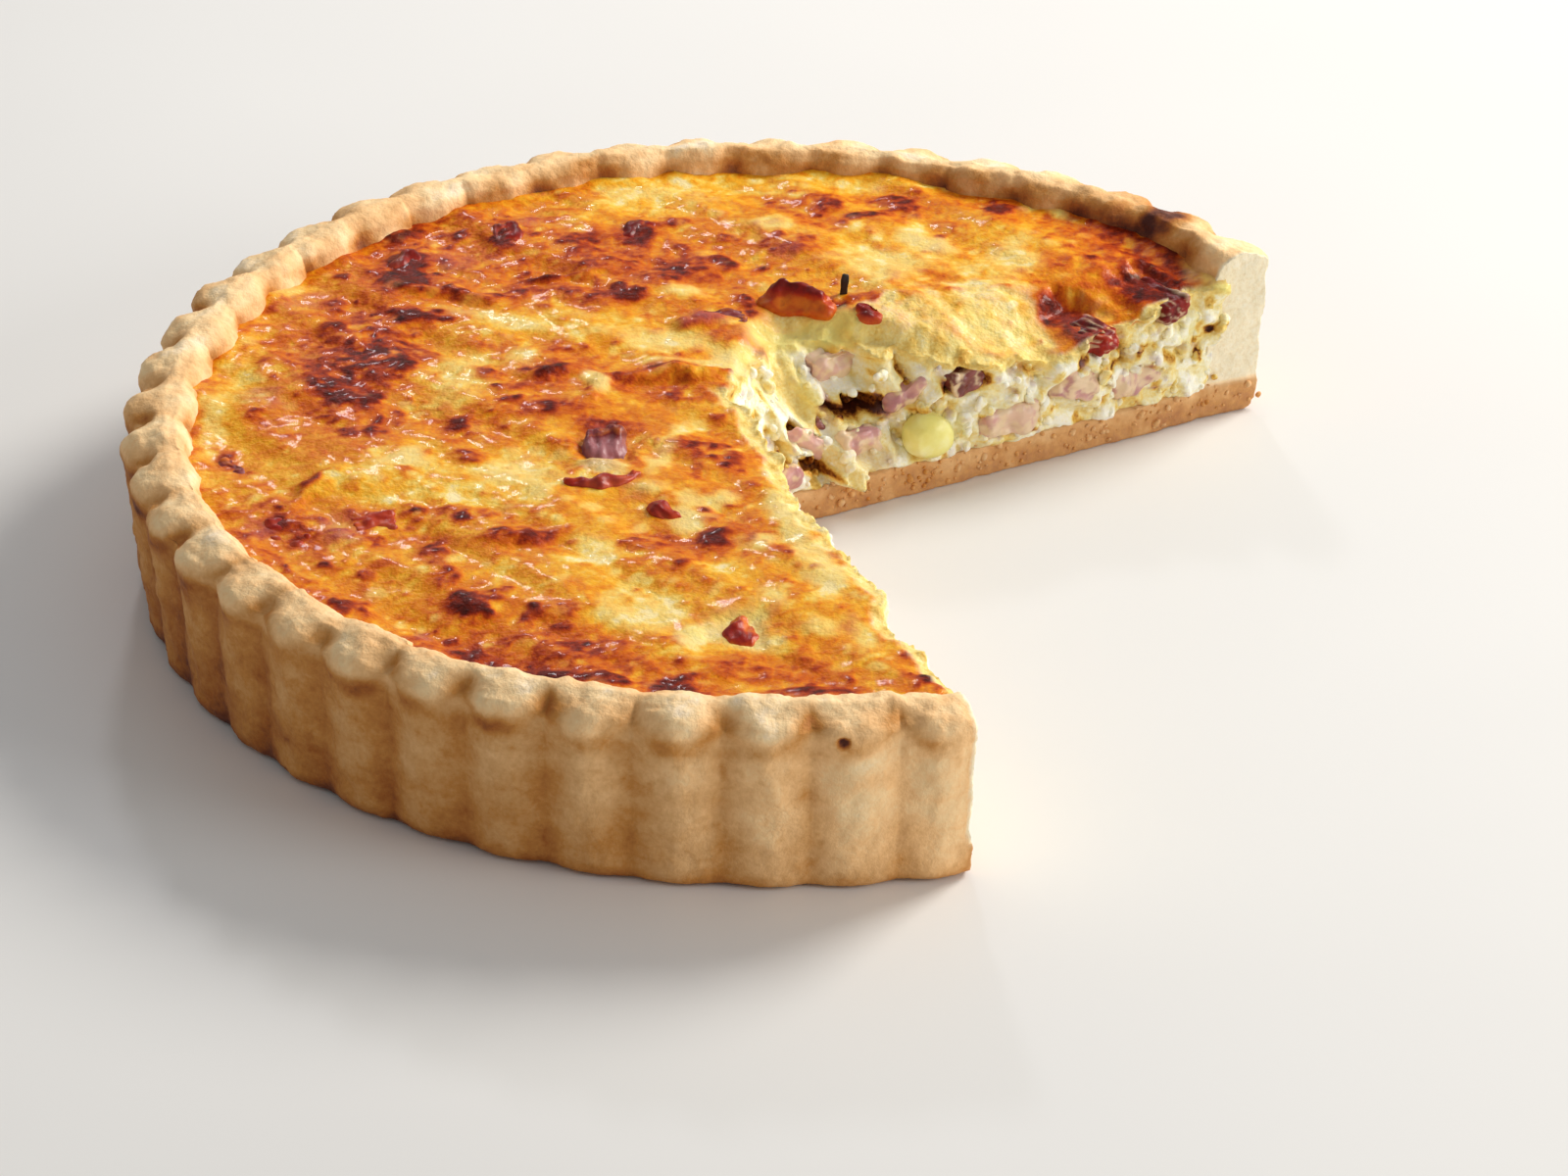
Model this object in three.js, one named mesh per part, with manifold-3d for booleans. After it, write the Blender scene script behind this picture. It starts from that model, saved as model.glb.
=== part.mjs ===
// A round baked quiche with a quarter or so cut away: a fluted shortcrust case, a set custard with a
// blistered cheese top, and pieces of ham that stand out of the top and of the two cut faces.
// Millimetres, +Z up. The quiche is modelled round its own axis and then moved, so that the origin
// is the middle of the underside of its bounding box. +X points out of the cut-away sector.
import * as THREE from "three";
import { mergeVertices } from "three/addons/utils/BufferGeometryUtils.js";
import Module from "manifold-3d";

const wasm = await Module();
wasm.setup();

// ---------------------------------------------------------------- driving dimensions
const FLUTES = 48; // in the full circle of the tin
const STEPS_PER_FLUTE = 4;
const CUSTARD_SEGMENTS = 64;
const FIRST_NOTCH = THREE.MathUtils.degToRad(-78.7); // one notch between two flutes
const BASE_RADIUS = 111; // over the flutes, where the case stands
const WALL_RADIUS = 113.2; // over the flutes, under the lip
const LIP_RADIUS = 115; // over the lobes of the lip
const CASE_HEIGHT = 32.4; // top of the lip
const LIP_BASE = 25; // height where the lip starts to bulge
const FOOT_DEPTH = 1.1; // of the grooves between two flutes, at the foot of the wall
const FLUTE_DEPTH = 2.3; // and under the lip
const LIP_NOTCH = 2.8; // between two lobes
const BASE_THICKNESS = 6;
const INNER_RADIUS = 101.6; // inside of the wall, at the edge of the custard
const WALL_TAPER = 2.2; // the inside is this much narrower at the base
const FILL_HEIGHT = 28; // mean height of the custard
const GAP = 0.35; // clearance between neighbouring solids

const APEX = new THREE.Vector2(-6, 8.6); // where the two cuts meet, off the quiche's axis
const FAR_CUT = THREE.MathUtils.degToRad(29.6); // direction of each cut from the apex
const NEAR_CUT = THREE.MathUtils.degToRad(-71.2);
const CUT_REACH = 135; // the cutter runs this far along each cut, past the lip
const TEAR_DEPTH = 22; // the custard is torn back this far at the top of the far cut
const TEAR_PLACE = 22; // middle of the tear, from the apex
const TEAR_WIDTH = 17;
const DROOP = 6.5; // the top sags this much along the far cut
const CRUMBLED = 3; // the near cut's upper edge has crumbled back this far
const AXIS_X = 10.9; // the quiche's axis, from the middle of the bounding box

// ---------------------------------------------------------------- small helpers
const smooth = (x, low, high) => THREE.MathUtils.smoothstep(x, low, high);
const bell = (x, middle, width) => Math.exp(-(((x - middle) / width) ** 2));

// A repeatable number from -1 to 1 for a whole number and a seed.
function chance(index, seed) {
  const wave = Math.sin(index * 127.1 + seed * 311.7) * 43758.5453;
  return 2 * (wave - Math.floor(wave)) - 1;
}

// A slow unevenness round the quiche, from -1 to 1.
function wobble(angle, seed) {
  return (
    0.5 * Math.sin(3 * angle + seed) +
    0.3 * Math.sin(7 * angle + 2.1 * seed) +
    0.2 * Math.sin(13 * angle + 3.7 * seed)
  );
}

// A gentle relief over a plane, from about -1 to 1, for waves of the given length.
function relief(u, v, length, seed) {
  const k = (2 * Math.PI) / length;
  return (
    0.4 * Math.sin(k * u + 1.3 * Math.sin(0.7 * k * v + seed)) +
    0.35 * Math.sin(1.3 * k * v + 1.1 * Math.sin(0.9 * k * u + 2 * seed)) +
    0.25 * Math.sin(1.9 * k * (u + v) + 3 * seed)
  );
}

// A closed geometry as a manifold-3d solid, and back.
function solidFrom(geometry) {
  const bare = geometry.clone().deleteAttribute("normal").deleteAttribute("uv");
  const merged = mergeVertices(bare, 1e-4);
  return new wasm.Manifold(
    new wasm.Mesh({
      numProp: 3,
      vertProperties: new Float32Array(merged.attributes.position.array),
      triVerts: new Uint32Array(merged.index.array),
    }),
  );
}

function geometryFrom(solid) {
  const mesh = solid.getMesh();
  const geometry = new THREE.BufferGeometry();
  const points = new Float32Array(mesh.vertProperties);
  geometry.setAttribute("position", new THREE.BufferAttribute(points, 3));
  geometry.setIndex(new THREE.BufferAttribute(new Uint32Array(mesh.triVerts), 1));
  geometry.computeVertexNormals();
  return geometry;
}

// The largest body of a solid, so that no loose sliver stays behind after a cut.
function largest(solid) {
  const bodies = solid.decompose();
  return bodies.reduce((a, b) => (a.volume() > b.volume() ? a : b));
}

// A closed skin over rings of points, with as many points in each ring, counter-clockwise from above.
function loft(rings) {
  const count = rings[0].length;
  const corners = rings.flat().flatMap((p) => [p.x, p.y, p.z]);
  const faces = [];
  for (let r = 0; r + 1 < rings.length; r++) {
    for (let i = 0; i < count; i++) {
      const a = r * count + i;
      const b = r * count + ((i + 1) % count);
      faces.push(a, b, b + count, a, b + count, a + count);
    }
  }
  const top = (rings.length - 1) * count;
  const caps = (ring) => THREE.ShapeUtils.triangulateShape(ring.map((p) => new THREE.Vector2(p.x, p.y)), []);
  for (const [a, b, c] of caps(rings[0])) faces.push(c, b, a);
  for (const [a, b, c] of caps(rings.at(-1))) faces.push(top + a, top + b, top + c);
  const geometry = new THREE.BufferGeometry();
  geometry.setAttribute("position", new THREE.Float32BufferAttribute(corners, 3));
  geometry.setIndex(faces);
  return geometry;
}

// ---------------------------------------------------------------- the lathe with flutes
// 1 at the crown of a flute and 0 in the notch between two.
function scallop(angle) {
  const turn = (angle - FIRST_NOTCH) / ((2 * Math.PI) / FLUTES);
  const across = 2 * (turn - Math.floor(turn + 1e-6)) - 1;
  return Math.max(0, 1 - across * across) ** 0.6;
}

const fluteNumber = (angle) => Math.floor((angle - FIRST_NOTCH) / ((2 * Math.PI) / FLUTES) + 1e-6);

// Turns a profile of { r, z } about +Z. shape(corner, angle) gives each corner's own { r, z }.
function turned(profile, segments, start, shape) {
  const points = profile.map((corner) => new THREE.Vector2(corner.r, corner.z));
  const geometry = new THREE.LatheGeometry(points, segments);
  const position = geometry.attributes.position;
  for (let i = 0; i <= segments; i++) {
    const angle = start + ((i % segments) * 2 * Math.PI) / segments;
    profile.forEach((corner, j) => {
      const { r, z } = corner.r === 0 ? corner : shape(corner, angle);
      position.setXYZ(i * profile.length + j, r * Math.cos(angle), r * Math.sin(angle), z);
    });
  }
  return geometry;
}

// ---------------------------------------------------------------- the cut-away sector
// A cut runs from the apex in its direction. Out is the way from the cut face into the gap.
function cutLine(angle, side) {
  const along = new THREE.Vector2(Math.cos(angle), Math.sin(angle));
  const out = new THREE.Vector2(-side * along.y, side * along.x);
  return (distance, offset) => APEX.clone().addScaledVector(along, distance).addScaledVector(out, offset);
}

const farCut = cutLine(FAR_CUT, -1);
const nearCut = cutLine(NEAR_CUT, 1);

// How far the custard's face stands out into the gap, at a distance from the apex and a height.
function farFace(distance, height) {
  const rise = smooth(height, 5, FILL_HEIGHT);
  const torn = -TEAR_DEPTH * bell(distance, TEAR_PLACE, TEAR_WIDTH) * rise;
  const hung = 2.5 * bell(distance, 68, 18) * smooth(height, 12, 24);
  const rough = 1.3 * relief(distance, height, 17, 1.7) * smooth(distance, 0, 8);
  return torn + hung + rough;
}

function nearFace(distance, height) {
  const crumbled = -CRUMBLED * (bell(distance, 42, 20) + 0.8 * bell(distance, 86, 8)) * smooth(height, 8, 26);
  return crumbled + 1.1 * relief(distance, height, 15, 4.1) * smooth(distance, 2, 10);
}

const straightFace = (distance) => 0.5 * relief(distance, 0, 40, 2.3) * smooth(distance, 4, 20);

// The tool that takes the sector away, as rings of its outline at each height.
function sectorTool(heights, far, near) {
  const steps = 20;
  const stops = Array.from({ length: steps }, (_, i) => ((i + 1) * CUT_REACH) / steps);
  const rings = heights.map((z) => {
    const nearSide = stops.map((d) => nearCut(d, near(d, z)));
    const farSide = stops.map((d) => farCut(d, far(d, z)));
    const outline = [APEX, ...nearSide, farCut(CUT_REACH, CUT_REACH), ...farSide.reverse()];
    return outline.map((p) => new THREE.Vector3(p.x, p.y, z));
  });
  return solidFrom(loft(rings));
}

// ---------------------------------------------------------------- the shortcrust case
const CASE_PROFILE = [
  { r: 0, z: 0 },
  { r: BASE_RADIUS - 2, z: 0, depth: FOOT_DEPTH },
  { r: BASE_RADIUS, z: 2, depth: FOOT_DEPTH },
  { r: (BASE_RADIUS + WALL_RADIUS) / 2, z: LIP_BASE / 2, depth: (FOOT_DEPTH + FLUTE_DEPTH) / 2 },
  { r: WALL_RADIUS, z: LIP_BASE, depth: FLUTE_DEPTH },
  { r: LIP_RADIUS, z: LIP_BASE + 2.4, depth: LIP_NOTCH, lip: 0.5 },
  { r: LIP_RADIUS - 0.4, z: CASE_HEIGHT - 3, depth: LIP_NOTCH, lip: 1 },
  { r: LIP_RADIUS - 2.6, z: CASE_HEIGHT - 0.7, depth: LIP_NOTCH, lip: 1 },
  { r: LIP_RADIUS - 6, z: CASE_HEIGHT + 0.1, depth: 1.1, lip: 1 },
  { r: INNER_RADIUS + 3.2, z: CASE_HEIGHT - 0.2, depth: 0.7, lip: 0.6 },
  { r: INNER_RADIUS + 0.7, z: FILL_HEIGHT + 0.8, inner: 1 },
  { r: INNER_RADIUS - WALL_TAPER, z: BASE_THICKNESS + 2, inner: 1 },
  { r: INNER_RADIUS - WALL_TAPER - 3, z: BASE_THICKNESS },
  { r: 0, z: BASE_THICKNESS },
];

// Each lobe of the lip has its own height and reach, and the whole wall leans in and out a little.
function caseShape({ r, z, depth = 0, lip = 0, inner = 0 }, angle) {
  const lobe = fluteNumber(angle);
  const crown = scallop(angle);
  const reach = lip * crown * 0.5 * chance(lobe, 1) + 0.35 * wobble(angle, 1.9) * (z > 1 ? 1 : 0);
  const lift = lip * (0.45 * wobble(angle, 0.6) + 0.5 * chance(lobe, 2) * crown - 0.9 * (1 - crown));
  const edge = inner * 0.5 * wobble(angle, 4.2);
  return { r: r - depth * (1 - crown) + reach + edge, z: z + lift };
}

function pastryCase() {
  const whole = turned(CASE_PROFILE, FLUTES * STEPS_PER_FLUTE, FIRST_NOTCH, caseShape);
  const tool = sectorTool([-10, CASE_HEIGHT + 10], straightFace, straightFace);
  return solidFrom(whole).subtract(tool);
}

// ---------------------------------------------------------------- the custard
// The height of the top: nearly level, uneven, and sagging where the far cut has torn it.
function topHeight(x, y) {
  const fromApex = new THREE.Vector2(x, y).sub(APEX);
  const distance = fromApex.x * Math.cos(FAR_CUT) + fromApex.y * Math.sin(FAR_CUT);
  const behind = -fromApex.x * Math.sin(FAR_CUT) + fromApex.y * Math.cos(FAR_CUT);
  const sag = DROOP * bell(distance, 66, 24) * bell(Math.max(0, behind), 0, 8);
  const crest = 1.2 * bell(Math.hypot(x, y), 62, 40);
  return FILL_HEIGHT + crest + 0.8 * relief(x, y, 46, 0.4) + 0.4 * relief(x, y, 19, 2.2) - sag;
}

// The side of the custard follows the inside of the wall, and its top follows topHeight.
function custardShape({ r, z, side = false, top = false }, angle) {
  if (side) {
    return { r: caseShape({ r, z, inner: 1 }, angle).r - GAP, z };
  }
  return { r, z: top ? topHeight(r * Math.cos(angle), r * Math.sin(angle)) : z };
}

function custard(pieces) {
  const lowest = BASE_THICKNESS + GAP;
  const rings = [95, 83, 70, 57, 44, 31, 16];
  const profile = [
    { r: 0, z: lowest },
    { r: INNER_RADIUS - WALL_TAPER - 3, z: lowest },
    { r: INNER_RADIUS - WALL_TAPER, z: BASE_THICKNESS + 2, side: true },
    { r: INNER_RADIUS + 0.4, z: FILL_HEIGHT - 0.2, side: true },
    ...rings.map((r) => ({ r, z: FILL_HEIGHT, top: true })),
    { r: 0, z: topHeight(0, 0) },
  ];
  const whole = turned(profile, CUSTARD_SEGMENTS, FIRST_NOTCH, custardShape);
  const heights = [0, 7, 12, 16.5, 20.5, 24, 28, 40];
  let solid = solidFrom(whole).subtract(sectorTool(heights, farFace, nearFace));
  for (const piece of pieces) {
    solid = solid.subtract(pocket(piece));
  }
  return largest(solid);
}

// ---------------------------------------------------------------- ham and cheese pieces
// A diced piece: a block whose corners are rounded off, uneven, and bent: bend lifts its two ends, and
// bow swings them sideways. The pocket that it sits in is the same piece grown by the gap.
function chunk({ size, bend = 0, bow = 0, taper = 0, seed }, grow = 0) {
  const [length, width, thickness] = size;
  const geometry = new THREE.BoxGeometry(2, 2, 2, 3, 2, 2);
  const position = geometry.attributes.position;
  const power = 4.5;
  for (let i = 0; i < position.count; i++) {
    const p = new THREE.Vector3().fromBufferAttribute(position, i);
    const most = Math.max(Math.abs(p.x), Math.abs(p.y), Math.abs(p.z));
    const norm = (Math.abs(p.x) ** power + Math.abs(p.y) ** power + Math.abs(p.z) ** power) ** (1 / power);
    p.multiplyScalar(most / norm);
    const ragged = 1 + 0.1 * relief(2 * p.x, 2 * p.y + p.z, 3.1, seed);
    const narrow = 1 - taper * (0.5 + 0.5 * p.x);
    position.setXYZ(
      i,
      p.x * (length / 2 + grow) * ragged,
      p.y * (width / 2 + grow) * ragged * narrow + bow * (p.x * p.x - 0.4),
      p.z * (thickness / 2 + grow) + bend * (p.x * p.x - 0.4),
    );
  }
  return geometry;
}

// A piece on the top, at a place from the quiche's axis, sunk by part of its thickness.
// lean tips its far edge up, and turn swings it round.
function onTop(x, y, size, turn, lean, sunk, more = {}) {
  return { at: new THREE.Vector3(x, y, topHeight(x, y) - sunk), turn, lean, size, seed: x + 2 * y, ...more };
}

// A piece in a cut face, at a distance from the apex and a height, standing out by part of its size.
function inCut(line, face, direction, distance, height, size, roll, stand, more = {}) {
  const place = line(distance, face(distance, height) + stand);
  const at = new THREE.Vector3(place.x, place.y, height);
  return { at, turn: direction, roll, lean: 0, size, seed: distance + 3 * height, ...more };
}

const inFarCut = (...rest) => inCut(farCut, farFace, FAR_CUT, ...rest);
const inNearCut = (...rest) => inCut(nearCut, nearFace, NEAR_CUT, ...rest);

const HAM_TOP = [
  onTop(4.9, 45.4, [15, 8, 3.2], -0.37, 0.75, -0.2, { taper: 0.4, bend: 0.5 }),
  onTop(17.4, 41.2, [7.4, 5, 3.6], -0.35, 0.3, 0.5),
  onTop(-28.6, -11, [8.4, 11, 6], 0.1, 0.25, 2.1),
  onTop(-29, -25.4, [14.5, 3.6, 2.8], 0.25, 0.15, 0.6, { bow: 2.6 }),
  onTop(-17.6, -35.6, [7.8, 4, 3], -0.92, 0.1, 0.9),
  onTop(-67, -40.5, [8.5, 7, 3.2], 0.2, 0.1, 1.2),
  onTop(-82, -44.5, [11, 6, 3.4], -0.75, 0.1, 1.2),
  onTop(-92.8, -21, [9, 3.6, 3], -1.1, 0.1, 0.9),
  onTop(-68, 58, [6, 13, 4.2], -0.1, 0.1, 1.6),
  onTop(-49.5, 71.5, [5.6, 9, 4], 0.2, 0.1, 1.5),
  onTop(-25, 74.5, [6, 10, 3.8], -0.2, 0.1, 1.4),
  onTop(-4.5, -75.9, [6.6, 10, 5.4], 0.1, 0.1, 1.9),
  onTop(-9.5, 39, [12, 5, 3], 0.25, 0.1, 1.0),
  onTop(71, 55.5, [14, 7, 3.8], -0.85, 0.25, 1.2, { bend: 0.5 }),
  onTop(57.5, 46.5, [13, 8, 3.6], -0.6, 0.15, 1.2, { bend: -0.5 }),
];

const HAM_FAR = [
  inFarCut(28, 21.2, [11.5, 6.2, 4.6], 0.1, 0.5, { bend: -0.6 }),
  inFarCut(17.6, 12.6, [13, 3.8, 3], -0.7, 1.2, { bend: 0.8 }),
  inFarCut(21.6, 14.2, [4.4, 2.8, 3], -0.6, 0.4),
  inFarCut(37.6, 18.2, [9, 3.8, 4], 0.5, 0.2),
  inFarCut(48, 19.8, [8, 5, 4.6], 0.2, -0.4),
  inFarCut(9.5, 9, [8, 4.6, 4.2], 0.1, 0.2),
  inFarCut(27, 11.2, [9, 5.5, 5], -0.1, 0.2),
  inFarCut(56, 11.4, [13, 6.2, 6.5], 0.1, 0.5),
  inFarCut(70, 15.5, [10, 7, 5.5], -0.35, 0.3),
  inFarCut(84, 12, [12, 6.5, 4.6], 0.2, 0.2),
];

const HAM_NEAR = [
  inNearCut(13, 13.4, [14, 8, 7], 0.25, 0.7),
  inNearCut(30, 20, [11, 6.5, 5], -0.3, 0.3),
  inNearCut(35.5, 11.4, [12, 6.5, 5], 0.1, 0.3),
  inNearCut(50, 15.5, [9, 7, 6], 0.5, 0.4),
  inNearCut(65, 21, [12, 6, 4.6], 0.25, 0.3),
  inNearCut(69, 12.4, [13, 7.5, 5.4], -0.15, 0.3),
  inNearCut(84, 15.5, [9.5, 6.5, 5], -0.45, 0.3),
];

const CHEESE = [inFarCut(39.5, 11.2, [8.2, 7.8, 7.4], 0.3, 1.6)];

function pieceMatrix({ at, turn, lean = 0, roll = 0 }, standing) {
  const euler = standing
    ? new THREE.Euler(Math.PI / 2, 0, turn, "ZXY")
    : new THREE.Euler(lean, 0, turn, "ZXY");
  const spin = new THREE.Quaternion().setFromAxisAngle(new THREE.Vector3(0, 0, 1), roll);
  const facing = new THREE.Quaternion().setFromEuler(euler).multiply(spin);
  return new THREE.Matrix4().compose(at, facing, new THREE.Vector3(1, 1, 1));
}

function pocket(piece) {
  const grown = chunk(piece, GAP).applyMatrix4(pieceMatrix(piece, "roll" in piece));
  return solidFrom(grown);
}

// ---------------------------------------------------------------- finishes
const finish = (color, roughness) => new THREE.MeshStandardMaterial({ color, roughness, metalness: 0 });
const SHORTCRUST = finish("#d9b07c", 0.75);
const CUSTARD = finish("#e8b65a", 0.45);
const BAKED_HAM = finish("#a5503c", 0.4);
const MOIST_HAM = finish("#cf8f86", 0.4);
const CHEESE_PALE = finish("#ecdf86", 0.35);

// ---------------------------------------------------------------- the scene
function placed(name, piece, material) {
  const mesh = new THREE.Mesh(chunk(piece), material);
  mesh.name = name;
  mesh.applyMatrix4(pieceMatrix(piece, "roll" in piece));
  return mesh;
}

function shown(name, solid, material) {
  const mesh = new THREE.Mesh(geometryFrom(solid), material);
  mesh.name = name;
  return mesh;
}

// Two numbers to each name, so that the nodes sort in order.
function row(stem, pieces, material) {
  return pieces.map((piece, i) => placed(`${stem}_${String(i + 1).padStart(2, "0")}`, piece, material));
}

const quiche = new THREE.Group();
const pieces = [...HAM_TOP, ...HAM_FAR, ...HAM_NEAR, ...CHEESE];
quiche.add(shown("pastry_case", pastryCase(), SHORTCRUST));
quiche.add(shown("custard", custard(pieces), CUSTARD));
quiche.add(...row("ham_top", HAM_TOP, BAKED_HAM));
quiche.add(...row("ham_far_cut", HAM_FAR, MOIST_HAM));
quiche.add(...row("ham_near_cut", HAM_NEAR, MOIST_HAM));
quiche.add(...row("cheese_lump", CHEESE, CHEESE_PALE));
quiche.position.x = AXIS_X;

const part = new THREE.Group();
part.add(quiche);
export default part;
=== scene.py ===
"""Finishes a round ham and cheese quiche with a sector cut away, as it comes from the oven.

Shapes are worked out in millimetres round the quiche's own axis, and are moved to the part's frame last.
"""

import itertools
import logging
import math
from dataclasses import dataclass, field
from enum import Enum
from typing import Callable, Iterable

import bmesh
import bpy
import numpy as np
from mathutils import Matrix, Vector


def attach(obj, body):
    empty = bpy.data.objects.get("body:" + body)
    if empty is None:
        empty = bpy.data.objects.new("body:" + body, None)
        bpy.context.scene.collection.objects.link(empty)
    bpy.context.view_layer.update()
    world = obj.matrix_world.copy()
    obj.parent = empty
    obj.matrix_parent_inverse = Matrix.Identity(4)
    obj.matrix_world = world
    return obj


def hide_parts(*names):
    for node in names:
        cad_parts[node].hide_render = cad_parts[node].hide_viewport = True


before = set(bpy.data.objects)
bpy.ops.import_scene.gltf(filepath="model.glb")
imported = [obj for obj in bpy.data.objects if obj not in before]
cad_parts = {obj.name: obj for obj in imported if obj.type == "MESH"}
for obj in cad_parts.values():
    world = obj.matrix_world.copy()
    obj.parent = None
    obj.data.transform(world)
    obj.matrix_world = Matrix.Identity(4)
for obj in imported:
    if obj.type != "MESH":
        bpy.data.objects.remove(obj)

log = logging.getLogger("quiche")

Array = np.ndarray
MM = 0.001
AXIS_X = 10.9  # the quiche's axis stands this far towards +X in the part's frame, mm
# turns the grid of the noise away from the axes
TWIST = np.array([[0.80, 0.52, -0.30], [-0.56, 0.46, -0.69], [-0.22, 0.72, 0.66]])


# ---------------------------------------------------------------- numbers
def smooth(x: Array, low: float, high: float) -> Array:
    """A smooth step from 0 at low to 1 at high."""
    t = np.clip((np.asarray(x, float) - low) / (high - low), 0.0, 1.0)
    return t * t * (3.0 - 2.0 * t)


def bell(x: Array, middle: float, width: float) -> Array:
    """A bell curve with a top of 1."""
    return np.exp(-(((np.asarray(x, float) - middle) / width) ** 2))


def chance(index: Array, seed: float) -> Array:
    """A repeatable number from -1 to 1 for each whole number."""
    wave = np.sin(np.asarray(index, float) * 127.1 + seed * 311.7) * 43758.5453
    return 2.0 * (wave - np.floor(wave)) - 1.0


def wobble(angle: Array, seed: float) -> Array:
    """A slow unevenness round the quiche, from -1 to 1."""
    slow = 0.5 * np.sin(3 * angle + seed) + 0.3 * np.sin(7 * angle + 2.1 * seed)
    return slow + 0.2 * np.sin(13 * angle + 3.7 * seed)


def relief(u: Array, v: Array, length: float, seed: float) -> Array:
    """A gentle relief over a plane, from about -1 to 1, for waves of the given length in mm."""
    k = 2 * math.pi / length
    first = 0.4 * np.sin(k * u + 1.3 * np.sin(0.7 * k * v + seed))
    second = 0.35 * np.sin(1.3 * k * v + 1.1 * np.sin(0.9 * k * u + 2 * seed))
    return first + second + 0.25 * np.sin(1.9 * k * (u + v) + 3 * seed)


def noise(points: Array, cell: float, seed: int = 0) -> Array:
    """Gradient noise at points in space.

    Args:
        points: an (n, 3) array, in mm.
        cell: the size of one bump, in mm.
        seed: another number gives another pattern.

    Returns:
        n numbers from about -1 to 1.
    """
    scaled = points @ TWIST / cell + 17.31 * seed
    whole = np.floor(scaled)
    part = scaled - whole
    fade = part**3 * (part * (part * 6 - 15) + 10)
    whole = whole.astype(np.int64)
    total = np.zeros(len(points))
    for corner in itertools.product((0, 1), repeat=3):
        key = whole + corner
        mixed = (key[:, 0] * 374761393 + key[:, 1] * 668265263 + key[:, 2] * 2147483647) & 0xFFFFFFFF
        mixed = ((mixed ^ (mixed >> 13)) * 1274126177) & 0xFFFFFFFF
        mixed ^= mixed >> 16
        away = part - corner
        slope = ((mixed & 1023) / 511.5 - 1) * away[:, 0]
        slope += ((mixed >> 10 & 1023) / 511.5 - 1) * away[:, 1]
        slope += ((mixed >> 20 & 1023) / 511.5 - 1) * away[:, 2]
        total += slope * np.prod(np.where(corner, fade, 1 - fade), axis=1)
    return 1.6 * total


def layered(points: Array, cell: float, octaves: int, seed: int = 0) -> Array:
    """Noise with finer noise on top, each layer half the size and half the strength of the last."""
    layers = (0.5**i * noise(points @ TWIST, cell / 2**i, seed + 7 * i) for i in range(octaves))
    return sum(layers)


# ---------------------------------------------------------------- meshes
def read_points(mesh: bpy.types.Mesh) -> Array:
    """The mesh's vertices as an (n, 3) array."""
    flat = np.empty(len(mesh.vertices) * 3, np.float32)
    mesh.vertices.foreach_get("co", flat)
    return flat.reshape(-1, 3).astype(float)


def write_points(mesh: bpy.types.Mesh, points: Array) -> None:
    """Moves the mesh's vertices."""
    mesh.vertices.foreach_set("co", points.astype(np.float32).ravel())
    mesh.update()


def read_normals(mesh: bpy.types.Mesh) -> Array:
    """The outward direction at each vertex as an (n, 3) array."""
    flat = np.empty(len(mesh.vertices) * 3, np.float32)
    mesh.vertex_normals.foreach_get("vector", flat)
    return flat.reshape(-1, 3).astype(float)


def roughen(mesh: bpy.types.Mesh, points: Array, by: Array) -> Array:
    """Moves the mesh's points outwards, by so many mm each, and returns their new places."""
    points = points + read_normals(mesh) * by[:, None]
    write_points(mesh, points)
    return points


def paint(mesh: bpy.types.Mesh, **fields: Array) -> None:
    """Stores a number for each vertex under each name, for the materials to read."""
    for name, values in fields.items():
        layer = mesh.attributes.get(name) or mesh.attributes.new(name, "FLOAT", "POINT")
        layer.data.foreach_set("value", np.ascontiguousarray(values, np.float32))


def read_paint(mesh: bpy.types.Mesh, name: str) -> Array:
    """The numbers that paint has stored under a name."""
    values = np.empty(len(mesh.vertices), np.float32)
    mesh.attributes[name].data.foreach_get("value", values)
    return values.astype(float)


def set_out(name: str, data: bpy.types.ID) -> bpy.types.Object:
    """Makes an object of a mesh, a light or a camera, and puts it in the scene."""
    made = bpy.data.objects.new(name, data)
    bpy.context.scene.collection.objects.link(made)
    return made


def to_object(bm: bmesh.types.BMesh, name: str) -> bpy.types.Object:
    """Makes an object of a bmesh, which is used up, with its faces turned outwards."""
    bmesh.ops.recalc_face_normals(bm, faces=bm.faces[:])
    mesh = bpy.data.meshes.new(name)
    bm.to_mesh(mesh)
    bm.free()
    return set_out(name, mesh)


def draw_section(bm: bmesh.types.BMesh, section: Iterable) -> list:
    """Draws an open line through points of a radius and a height, ready to be spun."""
    verts = [bm.verts.new((r, 0, z)) for r, z in section]
    return verts + [bm.edges.new(pair) for pair in itertools.pairwise(verts)]


def scatter(
    name: str, fineness: int, places: Array, sizes: Array, rng: np.random.Generator
) -> bpy.types.Object:
    """Scatters small lumps, each stretched and turned at random.

    Args:
        name: the object's name.
        fineness: how often each ball is subdivided.
        places: the lumps' middles, an (n, 3) array in mm.
        sizes: their radii in mm.
        rng: the seeded generator.

    Returns:
        One object with all of them.
    """
    bm = bmesh.new()
    bmesh.ops.create_icosphere(bm, subdivisions=fineness, radius=1)
    bm.verts.index_update()
    ball = np.array([v.co for v in bm.verts])
    faces = np.array([[v.index for v in f.verts] for f in bm.faces])
    bm.free()
    points = []
    for place, size in zip(places, sizes):
        turn, _ = np.linalg.qr(rng.normal(size=(3, 3)))
        turn *= np.linalg.det(turn)
        points.append((ball * rng.uniform(0.6, 1.35, 3) * size) @ turn + place)
    mesh = bpy.data.meshes.new(name)
    polygons = np.concatenate([faces + i * len(ball) for i in range(len(sizes))])
    mesh.from_pydata(np.concatenate(points), [], polygons)
    return set_out(name, mesh)


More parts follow.
